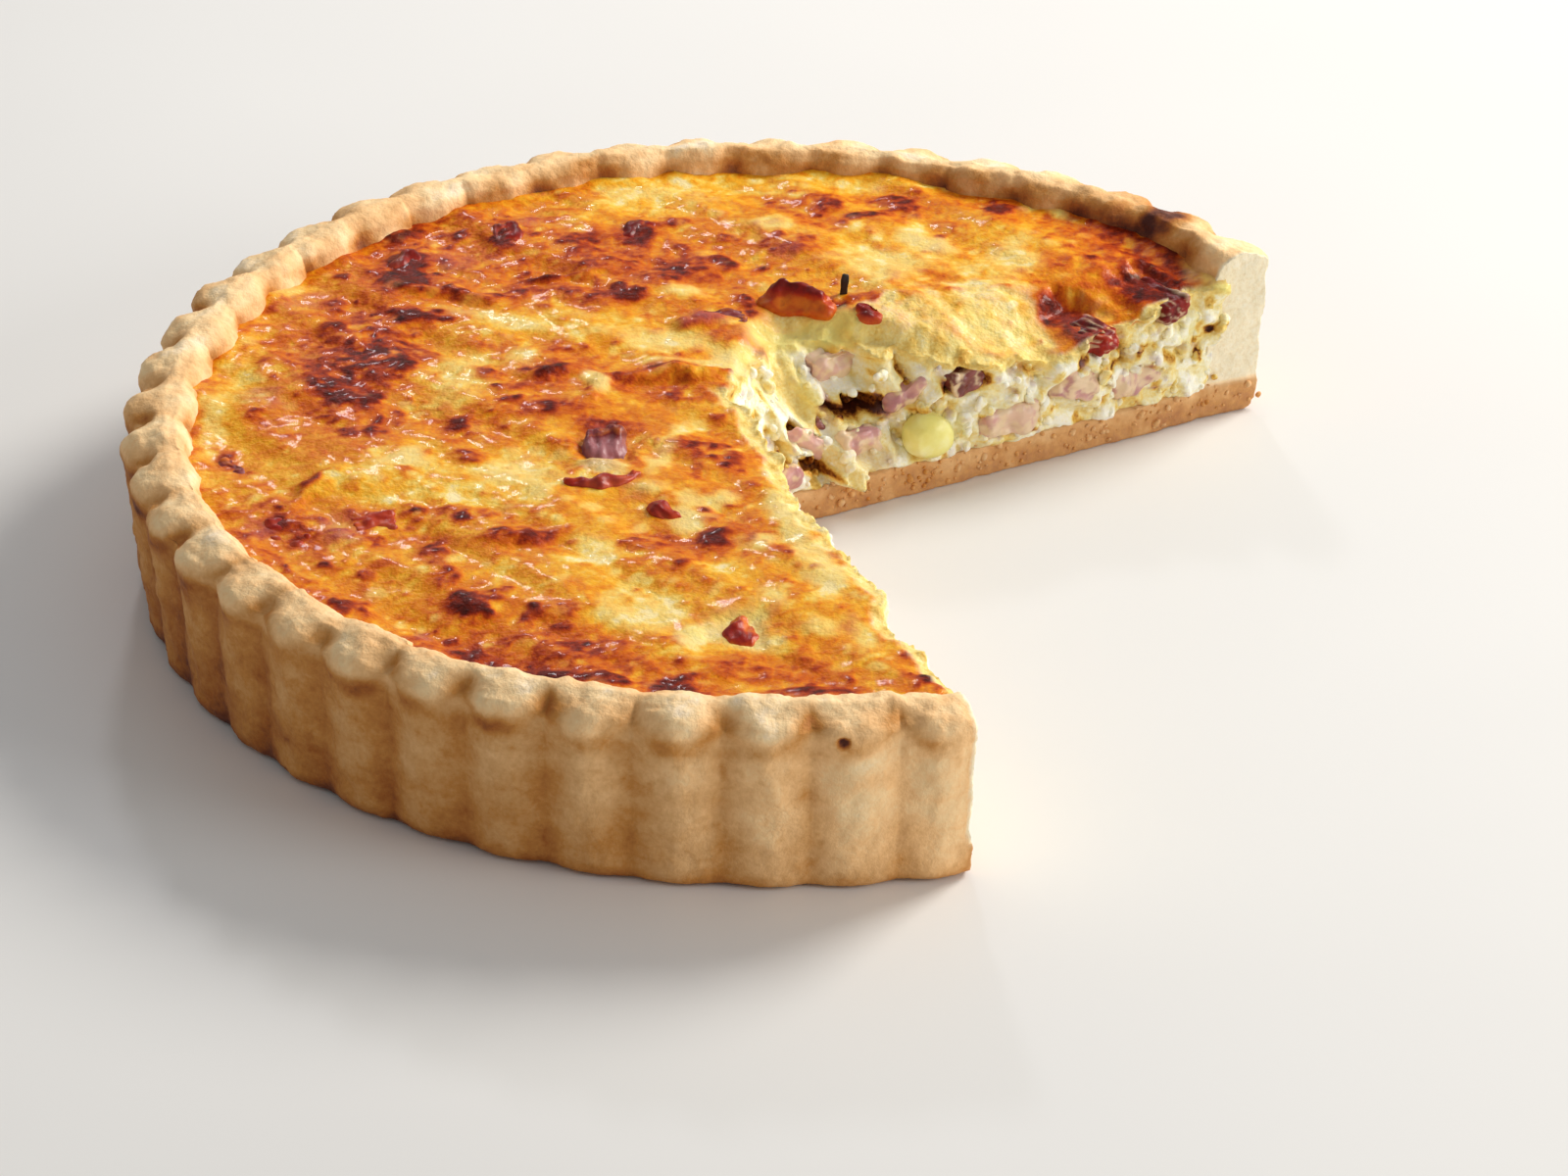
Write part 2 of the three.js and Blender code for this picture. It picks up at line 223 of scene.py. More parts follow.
def settle(piece: bpy.types.Object) -> None:
    """Applies the piece's modifiers to its mesh."""
    graph = bpy.context.evaluated_depsgraph_get()
    settled = bpy.data.meshes.new_from_object(piece.evaluated_get(graph))
    piece.modifiers.clear()
    raw = piece.data
    piece.data = settled
    bpy.data.meshes.remove(raw)


def combine(piece: bpy.types.Object, tool: bpy.types.Object, operation: str) -> None:
    """Cuts, joins or crops a piece with a tool, which is used up.

    Args:
        piece: the closed mesh that changes.
        tool: another closed mesh.
        operation: DIFFERENCE, UNION or INTERSECT.
    """
    cut = piece.modifiers.new("cut", "BOOLEAN")
    cut.operation = operation
    cut.solver = "MANIFOLD"
    cut.object = tool
    settle(piece)
    bpy.data.objects.remove(tool)


def deliver(piece: bpy.types.Object, material: bpy.types.Material, slot: str, *nodes: str) -> None:
    """Moves a finished piece to the part's frame, dresses it and ties it to the part.

    Args:
        piece: a mesh in mm round the quiche's axis.
        material: its finish.
        slot: the record's material slot; not used.
        nodes: the CAD nodes that it stands for.
    """
    mesh = piece.data
    write_points(mesh, (read_points(mesh) + (AXIS_X, 0, 0)) * MM)
    mesh.shade_smooth()
    mesh.materials.clear()
    mesh.materials.append(material)
    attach(piece, "root")
    if nodes:
        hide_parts(*nodes)
    log.info("%s: %d faces", piece.name, len(mesh.polygons))


# ---------------------------------------------------------------- materials
Tree = bpy.types.NodeTree
Node = bpy.types.Node
Socket = bpy.types.NodeSocket


def linear(colour: str) -> tuple[float, float, float, float]:
    """An sRGB hex colour, such as #d9b07c, as linear red, green, blue and alpha."""
    parts = [int(colour[i : i + 2], 16) / 255 for i in (1, 3, 5)]
    lit = [c / 12.92 if c <= 0.04045 else ((c + 0.055) / 1.055) ** 2.4 for c in parts]
    return (*lit, 1.0)


def feed(tree: Tree, node: Node, inputs: dict) -> None:
    """Gives a node's sockets, by name or number, their values or the outputs that feed them."""
    for name, value in inputs.items():
        if isinstance(value, Socket):
            tree.links.new(value, node.inputs[name])
        else:
            node.inputs[name].default_value = value


def add(tree: Tree, kind: str, inputs: dict | None = None, stops: Iterable = (), **settings: str) -> Node:
    """Adds one node with its settings and links.

    Args:
        tree: the material's node tree.
        kind: the node's type, without the words ShaderNode.
        inputs: for each socket's name or number, its value or the output that feeds it.
        stops: for a colour ramp, its places and hex colours.
        settings: properties of the node itself.

    Returns:
        The new node.
    """
    made = tree.nodes.new(f"ShaderNode{kind}")
    for name, value in settings.items():
        setattr(made, name, value)
    feed(tree, made, inputs or {})
    for i, (place, colour) in enumerate(stops):
        elements = made.color_ramp.elements
        element = elements[i] if i < len(elements) else elements.new(place)
        element.position = place
        element.color = linear(colour)
    return made


def per_mm(size: float) -> float:
    """The scale of a noise texture whose bumps are this many mm wide."""
    return 1 / (size * MM)


def stored(tree: Tree, *names: str) -> list[Socket]:
    """The numbers that are painted on the piece under each name."""
    return [add(tree, "Attribute", attribute_name=name).outputs["Fac"] for name in names]


def uneven(tree: Tree, value: Socket, *patterns: tuple[Socket, float]) -> Socket:
    """A value made uneven by patterns from 0 to 1, each with its strength, that keeps its mean."""
    for pattern, strength in patterns:
        value = add(tree, "Math", {0: pattern, 1: strength, 2: value}, operation="MULTIPLY_ADD").outputs[0]
    mean = sum(strength for _, strength in patterns) / 2
    return add(tree, "Math", {0: value, 1: mean}, operation="SUBTRACT").outputs[0]


def fresh(name: str) -> tuple[bpy.types.Material, Tree, Node, Socket]:
    """An empty material, its tree, its Principled shader, and the place that its patterns follow."""
    material = bpy.data.materials.new(name)
    material.use_nodes = True
    tree = material.node_tree
    shader = next(n for n in tree.nodes if n.type == "BSDF_PRINCIPLED")
    return material, tree, shader, add(tree, "TexCoord").outputs["Object"]


@dataclass(frozen=True)
class Shortcrust:
    """Flour and butter pastry, rolled thin and baked in a fluted tin.

    Dry and matt with a mealy grain, sandy where the heat was mild and brown along the base; shade is painted
    into the grooves.
    """

    browning: tuple = (
        (0.0, "#ffeaca"),
        (0.14, "#ffdca6"),
        (0.28, "#f9c88c"),
        (0.42, "#e3ad6e"),
        (0.56, "#cf8d42"),
        (0.72, "#b06622"),
        (0.88, "#7a3c18"),
        (1.0, "#4a1a0e"),
    )
    crumb: tuple = ((0.0, "#e6cb9a"), (0.5, "#faecca"), (1.0, "#fffaea"))
    meal_mm: float = 0.9  # grains of flour and butter, coarser than real so that they show
    meal_tone: float = 0.24
    mottle_mm: float = 6.0
    mottle_tone: float = 0.26
    relief_mm: float = 0.35

    def make(self) -> bpy.types.Material:
        """Builds the material. It reads the attributes toast and crumb."""
        material, tree, shader, place = fresh("shortcrust")
        toast, crumb = stored(tree, "toast", "crumb")
        grains = {"Vector": place, "Scale": per_mm(self.meal_mm), "Detail": 3.0, "Roughness": 0.65}
        clouds = {"Vector": place, "Scale": per_mm(self.mottle_mm), "Detail": 4.0}
        meal = add(tree, "TexNoise", grains).outputs[0]
        mottle = add(tree, "TexNoise", clouds).outputs[0]
        tone = uneven(tree, toast, (meal, self.meal_tone), (mottle, self.mottle_tone))
        skin = add(tree, "ValToRGB", {0: tone}, stops=self.browning).outputs[0]
        inside = add(tree, "ValToRGB", {0: meal}, stops=self.crumb).outputs[0]
        colour = add(tree, "Mix", {0: crumb, 6: skin, 7: inside}, data_type="RGBA").outputs[2]
        grainy = {"Height": meal, "Strength": 0.7, "Distance": self.relief_mm * MM}
        bump = add(tree, "Bump", grainy).outputs[0]
        feed(tree, shader, {"Base Color": colour, "Normal": bump, "Roughness": 0.72, "IOR": 1.45})
        return material


@dataclass(frozen=True)
class BakedCustard:
    """Egg custard with grated cheese, blistered brown on top and pale and curdy where it is cut.

    The top is greasy with melted fat, from pale yellow through orange to near black.
    """

    browning: tuple = (
        (0.0, "#f9e4aa"),
        (0.12, "#f5cd5c"),
        (0.26, "#f0ac28"),
        (0.40, "#e28814"),
        (0.53, "#d0640c"),
        (0.66, "#ab3a08"),
        (0.79, "#7a1e06"),
        (0.90, "#541206"),
        (1.0, "#360c06"),
    )
    # from the painted shadow deep in the hollows of the cut faces, dark brown, to the painted light on their
    # crests, cream
    curds: tuple = (
        (0.0, "#3c1608"),
        (0.14, "#8a4c18"),
        (0.30, "#d29a3c"),
        (0.48, "#eac568"),
        (0.66, "#f3dc90"),
        (0.84, "#f8edc0"),
        (1.0, "#fefae8"),
    )
    milky: str = "#f1d78e"
    meaty: str = "#b5605c"
    mauve: str = "#b48c92"
    cheesy: str = "#faf092"
    mottle_mm: float = 3.2
    grain_mm: float = 1.3  # tiny fat blisters
    speck_mm: float = 0.6
    skin_roughness: float = 0.43
    curd_roughness: float = 0.5

    def make(self) -> bpy.types.Material:
        """Builds the material. It reads the attributes brown, pale, pink, cheesy, inside and curd."""
        material, tree, shader, place = fresh("baked_custard")
        brown, pale, pink, cheesy, inside, curd = stored(
            tree, "brown", "pale", "pink", "cheesy", "inside", "curd"
        )
        patterns = ((self.mottle_mm, 6.0, 0.65), (self.grain_mm, 3.0, 0.5), (self.speck_mm, 2.0, 0.5))
        mottle, grain, speck = (
            add(
                tree,
                "TexNoise",
                {"Vector": place, "Scale": per_mm(size), "Detail": detail, "Roughness": rough},
            ).outputs[0]
            for size, detail, rough in patterns
        )
        tone = uneven(tree, brown, (mottle, 0.5), (grain, 0.34))
        level = uneven(tree, curd, (speck, 0.45))
        skin = add(tree, "ValToRGB", {0: tone}, stops=self.browning).outputs[0]
        inner = add(tree, "ValToRGB", {0: level}, stops=self.curds).outputs[0]
        milk = add(tree, "Mix", {0: pale, 6: skin, 7: linear(self.milky)}, data_type="RGBA").outputs[2]
        meat = add(tree, "Mix", {0: pink, 6: milk, 7: linear(self.meaty)}, data_type="RGBA").outputs[2]
        stained = add(tree, "Mix", {0: pink, 6: inner, 7: linear(self.mauve)}, data_type="RGBA").outputs[2]
        either = add(tree, "Mix", {0: inside, 6: meat, 7: stained}, data_type="RGBA").outputs[2]
        colour = add(tree, "Mix", {0: cheesy, 6: either, 7: linear(self.cheesy)}, data_type="RGBA").outputs[2]
        matt = add(tree, "MapRange", {0: inside, 3: self.skin_roughness, 4: self.curd_roughness}).outputs[0]
        coarse = {"Height": grain, "Strength": 0.7, "Distance": 0.42 * MM}
        blisters = add(tree, "Bump", coarse).outputs[0]
        fine = {"Height": speck, "Strength": 0.5, "Distance": 0.24 * MM, "Normal": blisters}
        looks = {
            "Base Color": colour,
            "Roughness": uneven(tree, matt, (grain, 0.2)),
            "Normal": add(tree, "Bump", fine).outputs[0],
            "Specular IOR Level": 0.07,
            "Coat Weight": 0.08,
            "Coat Roughness": 0.08,
            "Subsurface Weight": 0.06,
            "Subsurface Radius": (1.0, 0.6, 0.25),
            "Subsurface Scale": 2.5 * MM,
        }
        feed(tree, shader, looks)
        return material


@dataclass(frozen=True)
class CookedHam:
    """Diced cured ham: pink to mauve muscle with cream fat.

    It darkens to red-brown where the oven reached it.
    """

    name: str
    muscle: tuple
    # cream fat, also painted in streaks as highlights on two pieces of the top
    fat: str = "#ecd0a8"
    grain_mm: float = 1.6
    grain_tone: float = 0.3
    roughness: float = 0.33
    shine: float = 0.5

    def make(self) -> bpy.types.Material:
        """Builds the material. It reads the attributes fat and roast."""
        material, tree, shader, place = fresh(self.name)
        fibres = {"Vector": place, "Scale": per_mm(self.grain_mm), "Detail": 4.0}
        grain = add(tree, "TexNoise", fibres).outputs[0]
        roast, fat = stored(tree, "roast", "fat")
        tone = uneven(tree, roast, (grain, self.grain_tone))
        lean = add(tree, "ValToRGB", {0: tone}, stops=self.muscle).outputs[0]
        colour = add(tree, "Mix", {0: fat, 6: lean, 7: linear(self.fat)}, data_type="RGBA").outputs[2]
        looks = {
            "Base Color": colour,
            "Normal": add(tree, "Bump", {"Height": grain, "Strength": 0.5, "Distance": 0.3 * MM}).outputs[0],
            "Roughness": self.roughness,
            "Specular IOR Level": self.shine,
            "Subsurface Weight": 0.08,
            "Subsurface Radius": (1.0, 0.35, 0.25),
            "Subsurface Scale": 2.0 * MM,
        }
        feed(tree, shader, looks)
        return material


BROWNED_HAM = CookedHam(
    "browned_ham",
    (
        (0.0, "#a06468"),
        (0.16, "#741c1c"),
        (0.32, "#dc741c"),
        (0.48, "#bc3e10"),
        (0.64, "#94180a"),
        (0.82, "#600e0a"),
        (1.0, "#300a08"),
    ),
    roughness=0.38,
    shine=0.22,
)
MOIST_HAM = CookedHam(
    "moist_ham",
    ((0.0, "#e4b8a6"), (0.35, "#d39c92"), (0.6, "#b97f80"), (0.8, "#985652"), (1.0, "#6a2a22")),
)


@dataclass(frozen=True)
class PaleCheese:
    """A lump of half-melted hard cheese: smooth, pale yellow and a little greasy."""

    tones: tuple = ((0.25, "#e6d868"), (0.55, "#f3ea8e"), (0.8, "#fbf6bc"))
    cloud_mm: float = 4.0

    def make(self) -> bpy.types.Material:
        """Builds the material."""
        material, tree, shader, place = fresh("pale_cheese")
        clouds = {"Vector": place, "Scale": per_mm(self.cloud_mm), "Detail": 4.0}
        cloud = add(tree, "TexNoise", clouds).outputs[0]
        looks = {
            "Base Color": add(tree, "ValToRGB", {0: cloud}, stops=self.tones).outputs[0],
            "Normal": add(tree, "Bump", {"Height": cloud, "Strength": 0.3, "Distance": 0.5 * MM}).outputs[0],
            "Roughness": 0.34,
            "Subsurface Weight": 0.15,
            "Subsurface Radius": (1.0, 0.8, 0.3),
            "Subsurface Scale": 3.0 * MM,
        }
        feed(tree, shader, looks)
        return material


@dataclass(frozen=True)
class CharredBit:
    """A sliver of onion burnt black, dry and dull."""

    tones: tuple = ((0.3, "#17100c"), (0.8, "#3a2a1e"))
    ash_mm: float = 0.8

    def make(self) -> bpy.types.Material:
        """Builds the material."""
        material, tree, shader, place = fresh("charred_onion")
        flakes = {"Vector": place, "Scale": per_mm(self.ash_mm), "Detail": 3.0}
        ash = add(tree, "TexNoise", flakes).outputs[0]
        colour = add(tree, "ValToRGB", {0: ash}, stops=self.tones).outputs[0]
        feed(tree, shader, {"Base Color": colour, "Roughness": 0.6})
        return material


# ---------------------------------------------------------------- the cut-away sector
class Side(Enum):
    """The two cut faces."""

    FAR = 1
    NEAR = -1


@dataclass(frozen=True)
class Sector:
    """The part of the round that is cut away, between two cuts that meet at an apex off the axis."""

    apex: tuple = (-6.0, 8.6)
    far: float = math.radians(29.6)
    near: float = math.radians(-71.2)
    reach: float = 134.0
    turn_over: float = 5.0  # round the apex the face turns from one cut to the other over this distance
    tear_depth: float = 22.0
    tear_place: float = 22.0
    tear_width: float = 17.0
    hung: float = 2.5  # how far the far cut's upper half hangs over towards its end
    crumbled: float = 3.0  # how far the near cut's upper edge has crumbled back
    far_waves: float = 1.3  # the broad unevenness of each face
    near_waves: float = 1.1

    def directions(self, side: Side) -> tuple[Array, Array]:
        """Along a cut from the apex, and out of its face into the gap."""
        angle = self.far if side is Side.FAR else self.near
        along = np.array([math.cos(angle), math.sin(angle)])
        return along, side.value * np.array([along[1], -along[0]])

    def place(self, s: Array, stand: Array) -> Array:
        """Points of the cut faces in plan.

        Args:
            s: the distance from the apex, above 0 on the far cut and below 0 on the near one.
            stand: how far the point stands out of the straight cut into the gap.

        Returns:
            An (n, 2) array.
        """
        far_along, far_out = self.directions(Side.FAR)
        near_along, near_out = self.directions(Side.NEAR)
        share = smooth(s, -self.turn_over, self.turn_over)[:, None]
        out = far_out * share + near_out * (1 - share)
        out /= np.linalg.norm(out, axis=1, keepdims=True)
        along = np.where(s[:, None] > 0, far_along, near_along) * np.abs(s)[:, None]
        return np.array(self.apex) + along + out * stand[:, None]

    def locate(self, points: Array) -> tuple[Array, Array]:
        """The other way round: s of the nearer cut, and how far a point stands out of it."""
        rel = points[:, :2] - self.apex
        answers = {}
        for side in Side:
            along, out = self.directions(side)
            answers[side] = (side.value * (rel @ along), rel @ out)
        middle = (self.far + self.near) / 2
        bearing = np.arctan2(rel[:, 1], rel[:, 0])
        turn = (bearing - middle + math.pi) % (2 * math.pi) - math.pi
        is_far = turn > 0
        s = np.where(is_far, answers[Side.FAR][0], answers[Side.NEAR][0])
        stand = np.where(is_far, answers[Side.FAR][1], answers[Side.NEAR][1])
        return s, stand

    def face(self, s: Array, z: Array, fill: float) -> Array:
        """How far the custard stands out of the straight cuts, torn back near the apex of the far one."""
        distance = np.abs(s)
        rise = smooth(z, 5, fill)
        torn = -self.tear_depth * bell(distance, self.tear_place, self.tear_width) * rise
        hung = self.hung * bell(distance, 68, 18) * smooth(z, 12, 24)
        far = torn + hung + self.far_waves * relief(distance, z, 17, 1.7) * smooth(distance, 0, 8)
        crumbled = -self.crumbled * (bell(distance, 42, 20) + 0.8 * bell(distance, 86, 8)) * smooth(z, 8, 26)
        near = crumbled + self.near_waves * relief(distance, z, 15, 4.1) * smooth(distance, 2, 10)
        share = smooth(s, -self.turn_over, self.turn_over)
        return far * share + near * (1 - share)

    def behind(self, points: Array, z: float) -> tuple[Array, Array]:
        """How far points lie inside the custard from its cut faces, at one height.

        Args:
            points: an (n, 2) or (n, 3) array.
            z: the height in mm.

        Returns:
            The distances, below 0 in the gap, and s on the face that each is measured from.
        """
        rel = points[:, :2] - self.apex
        answers = []
        for side in Side:
            along, out = self.directions(side)
            s = side.value * np.maximum(0.0, rel @ along)
            answers += [self.face(s, np.full(len(s), z), z) - rel @ out, s]
        far, far_s, near, near_s = answers
        return np.maximum(far, near), np.where(far > near, far_s, near_s)

    def strew(self, rng: np.random.Generator, count: int, share: float, span: tuple) -> Array:
        """Random places along both cuts.

        Args:
            rng: the seeded generator.
            count: how many places.
            share: how many of them lie on the far cut, from 0 to 1.
            span: their smallest distance from the apex, and their greatest on the far and the near cut.

        Returns:
            s at each place, above 0 on the far cut and below 0 on the near one.
        """
        start, far, near = span
        is_far = rng.random(count) < share
        return np.where(is_far, rng.uniform(start, far, count), -rng.uniform(start, near, count))

    def tool(self, name: str, spacing: float, low: float, high: float, stand: Callable) -> bpy.types.Object:
        """The solid that takes the sector away, whose two faces carry a relief.

        Args:
            name: the object's name.
            spacing: between points of the faces, in mm.
            low: the faces' lowest height.
            high: their highest.
            stand: gives how far the face stands out at each s and z.

        Returns:
            A closed mesh. The faces are one folded sheet, pushed out of the round along the sector's middle.
        """
        bm = bmesh.new()
        columns = round(2 * self.reach / spacing)
        rows = round((high - low) / spacing)
        bmesh.ops.create_grid(bm, x_segments=columns, y_segments=rows, size=1)
        grown = bmesh.ops.extrude_face_region(bm, geom=bm.faces[:])
        outer = [v for v in grown["geom"] if isinstance(v, bmesh.types.BMVert)]
        bmesh.ops.translate(bm, verts=outer, vec=(0, 0, 1))
        tool = to_object(bm, name)
        grid = read_points(tool.data)
        s = grid[:, 0] * self.reach
        z = low + (grid[:, 1] + 1) / 2 * (high - low)
        plan = self.place(s, stand(s, z))
        middle = (self.far + self.near) / 2
        push = 1.6 * self.reach * grid[:, 2:3]
        plan = plan + push * (math.cos(middle), math.sin(middle))
        write_points(tool.data, np.column_stack([plan, z]))
        bm = bmesh.new()
        bm.from_mesh(tool.data)
        bmesh.ops.recalc_face_normals(bm, faces=bm.faces[:])
        bm.to_mesh(tool.data)
        bm.free()
        return tool


@dataclass(frozen=True)
class Tin:
    """The fluted tin that shaped the case, and the level to which it was filled."""

    flutes: int = 48
    first_notch: float = math.radians(-78.7)
    base_radius: float = 111.0
    wall_radius: float = 113.2
    lip_radius: float = 113.3
    lip_bulge: float = 0.42
    height: float = 32.7
    base_flute: float = 1.2  # depth of the grooves at the foot of the wall
    wall_flute: float = 2.3  # and under the lip
    lip_notch: float = 2.1
    inner_radius: float = 101.2
    wall_taper: float = 2.0
    fill: float = 28.0

    def flute(self, angle: Array) -> tuple[Array, Array]:
        """The place across a flute from -1 to 1, and the flute's number."""
        turn = (angle - self.first_notch) / (2 * math.pi / self.flutes)
        number = np.floor(turn)
        return 2 * (turn - number) - 1, number % self.flutes


@dataclass
class Raster:
    """Sample points over a rectangle of a surface, in mm, with named fields that are read between them."""

    left: float
    low: float
    width: float
    height: float
    step: float
    fields: dict = field(default_factory=dict)
    u: Array = field(init=False)
    v: Array = field(init=False)

    def __post_init__(self) -> None:
        """Lays the points out."""
        across = np.arange(self.left, self.left + self.width + self.step / 2, self.step)
        upward = np.arange(self.low, self.low + self.height + self.step / 2, self.step)
        self.u, self.v = np.meshgrid(across, upward)

    @property
    def points(self) -> Array:
        """The points as an (n, 3) array."""
        return np.column_stack([self.u.ravel(), self.v.ravel(), np.zeros(self.u.size)])

    def waves(self, cell: float, seed: int, octaves: int = 1) -> Array:
        """Noise at every point, with more octaves in finer layers."""
        values = noise(self.points, cell, seed) if octaves == 1 else layered(self.points, cell, octaves, seed)
        return values.reshape(self.u.shape)

    def nearest(self, u: float, v: float) -> tuple[int, int]:
        """The row and the column of the point next to a place."""
        return int((v - self.low) / self.step), int((u - self.left) / self.step)

    def window(self, u: float, v: float, reach: float) -> tuple[slice, slice]:
        """The rows and columns within reach of a place."""
        span = int(reach / self.step) + 2
        row, col = self.nearest(u, v)
        return slice(max(0, row - span), max(0, row + span)), slice(max(0, col - span), max(0, col + span))

    def around(self, u: float, v: float, turn: float, reach: float) -> tuple[tuple, Array, Array]:
        """The window within reach of a place, and how far its points are from there along two turned axes."""
        window = self.window(u, v, reach)
        du, dv = self.u[window] - u, self.v[window] - v
        across = du * math.cos(turn) + dv * math.sin(turn)
        return window, across, -du * math.sin(turn) + dv * math.cos(turn)

    def at(self, name: str, u: Array, v: Array) -> Array:
        """A field's values at any places."""
        values = self.fields[name]
        rows, columns = values.shape
        col = np.clip((u - self.left) / self.step, 0, columns - 1.001)
        row = np.clip((v - self.low) / self.step, 0, rows - 1.001)
        c, r = col.astype(int), row.astype(int)
        fc, fr = col - c, row - r
        below = values[r, c] * (1 - fc) + values[r, c + 1] * fc
        above = values[r + 1, c] * (1 - fc) + values[r + 1, c + 1] * fc
        return below * (1 - fr) + above * fr


def nodes_with(word: str) -> list[str]:
    """The CAD nodes that have a word in their names."""
    return sorted(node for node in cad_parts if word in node)


def node_points(node: str) -> Array:
    """The vertices of a CAD node in mm round the quiche's axis."""
    return read_points(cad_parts[node].data) / MM - (AXIS_X, 0, 0)


@dataclass(frozen=True)
class Outline:
    """Where a piece lies in a surface: its middle, its two directions there and its half sizes, in mm."""

    middle: Array
    axes: Array
    half: Array

    @classmethod
    def around(cls, places: Array) -> "Outline":
        """Fits an outline to places of the surface, an (n, 2) array."""
        middle = places.mean(axis=0)
        _, _, axes = np.linalg.svd(places - middle, full_matrices=False)
        return cls(middle, axes, np.abs((places - middle) @ axes.T).max(axis=0))

    def distance(self, u: Array, v: Array) -> Array:
        """How far places are from the middle, as a share of the size: 1 on a rounded rectangle."""
        first, second = (
            ((u - self.middle[0]) * axis[0] + (v - self.middle[1]) * axis[1]) / size
            for axis, size in zip(self.axes, self.half)
        )
        return (first**4 + second**4) ** 0.25


# ---------------------------------------------------------------- the browned top
@dataclass(frozen=True)
class Spot:
    """A patch of a surface: its middle and size in mm, its turn in degrees, and its tone.

    The tone runs from 0 to 1 unless its table says otherwise. On a cut face x is the distance along the cut
    from the apex, below 0 on the near one, and y is the height.
    """

    x: float
    y: float
    length: float
    width: float
    turn: float
    tone: float

    def distance(self, x: Array, y: Array) -> Array:
        """How far points are from the middle, as a share of the spot's size."""
        turn = math.radians(self.turn)
        u = (x - self.x) * math.cos(turn) + (y - self.y) * math.sin(turn)
        v = -(x - self.x) * math.sin(turn) + (y - self.y) * math.cos(turn)
        return np.hypot(2 * u / self.length, 2 * v / self.width)

    def cover(self, x: Array, y: Array, core: float, rim: float, fray: Array | float = 0.0) -> Array:
        """1 within the core and 0 beyond the rim, both as shares of the size, with a frayed outline."""
        return 1 - smooth(self.distance(x, y) + fray, core, rim)


def spots(*rows: tuple) -> tuple:
    """Spots from rows of x, y, length, width, turn and tone."""
    return tuple(Spot(*row) for row in rows)


def tint(
    values: Array, patches: tuple, x: Array, y: Array, core: float, rim: float, strength: float = 1.0
) -> None:
    """Draws values towards the tones of spots, one spot after another."""
    for spot in patches:
        values += (spot.tone - values) * strength * spot.cover(x, y, core, rim)


def mask(patches: tuple, x: Array, y: Array, core: float, rim: float, fray: Array | float = 0.0) -> Array:
    """The strongest cover by any of the spots, each as strong as its tone."""
    return np.max([spot.tone * spot.cover(x, y, core, rim, fray) for spot in patches], axis=0)


ZONES = spots(
    # broad tones under the spots, from the left round to the right
    (-96, -4, 60, 9, 88, 0.20), (-93, 45, 34, 9, 62, 0.34), (-77, 27, 58, 28, 82, 0.56),
    (-78, -6, 34, 22, -10, 0.50), (-58, 64, 46, 30, 15, 0.52), (-24, 64, 54, 28, 0, 0.47),
    (-20, 86, 40, 12, 8, 0.24), (0, 97, 96, 10, 0, 0.16), (14, 84, 50, 14, -5, 0.44),
    (-30, 34, 62, 13, -8, 0.25), (-52, 38, 26, 8, -20, 0.14), (-55, 13, 12, 28, -8, 0.34),
    (-36, 15, 20, 16, 0, 0.40), (-15, 13, 26, 13, 0, 0.50), (-16, -14, 28, 28, 0, 0.40),
    (-42, 1, 26, 14, 0, 0.47), (-56, -23, 48, 24, -8, 0.22), (-73, -17, 11, 11, 0, 0.42),
    (-84, -44, 24, 16, -40, 0.50), (-72, -64, 50, 16, -45, 0.38), (-44, -46, 30, 18, 0, 0.42),
    (-43, -60, 22, 16, 0, 0.37), (-29, -51, 13, 18, 0, 0.18), (-20, -50, 15, 18, 0, 0.46),
    (-33, -84, 46, 17, -14, 0.55), (2, -88, 36, 11, 3, 0.48), (-12, -84, 16, 8, 0, 0.24),
    (-6, -58, 11, 14, 0, 0.20), (-21, -71, 16, 16, 0, 0.22), (12, -72, 16, 36, 14, 0.36),
    (4, -38, 9, 34, 12, 0.20), (66, 74, 44, 26, -48, 0.60), (36, 70, 50, 26, -8, 0.29),
    (50, 83, 26, 12, -25, 0.40), (36, 44, 46, 24, 12, 0.20), (4, 36, 26, 11, 14, 0.12),
)

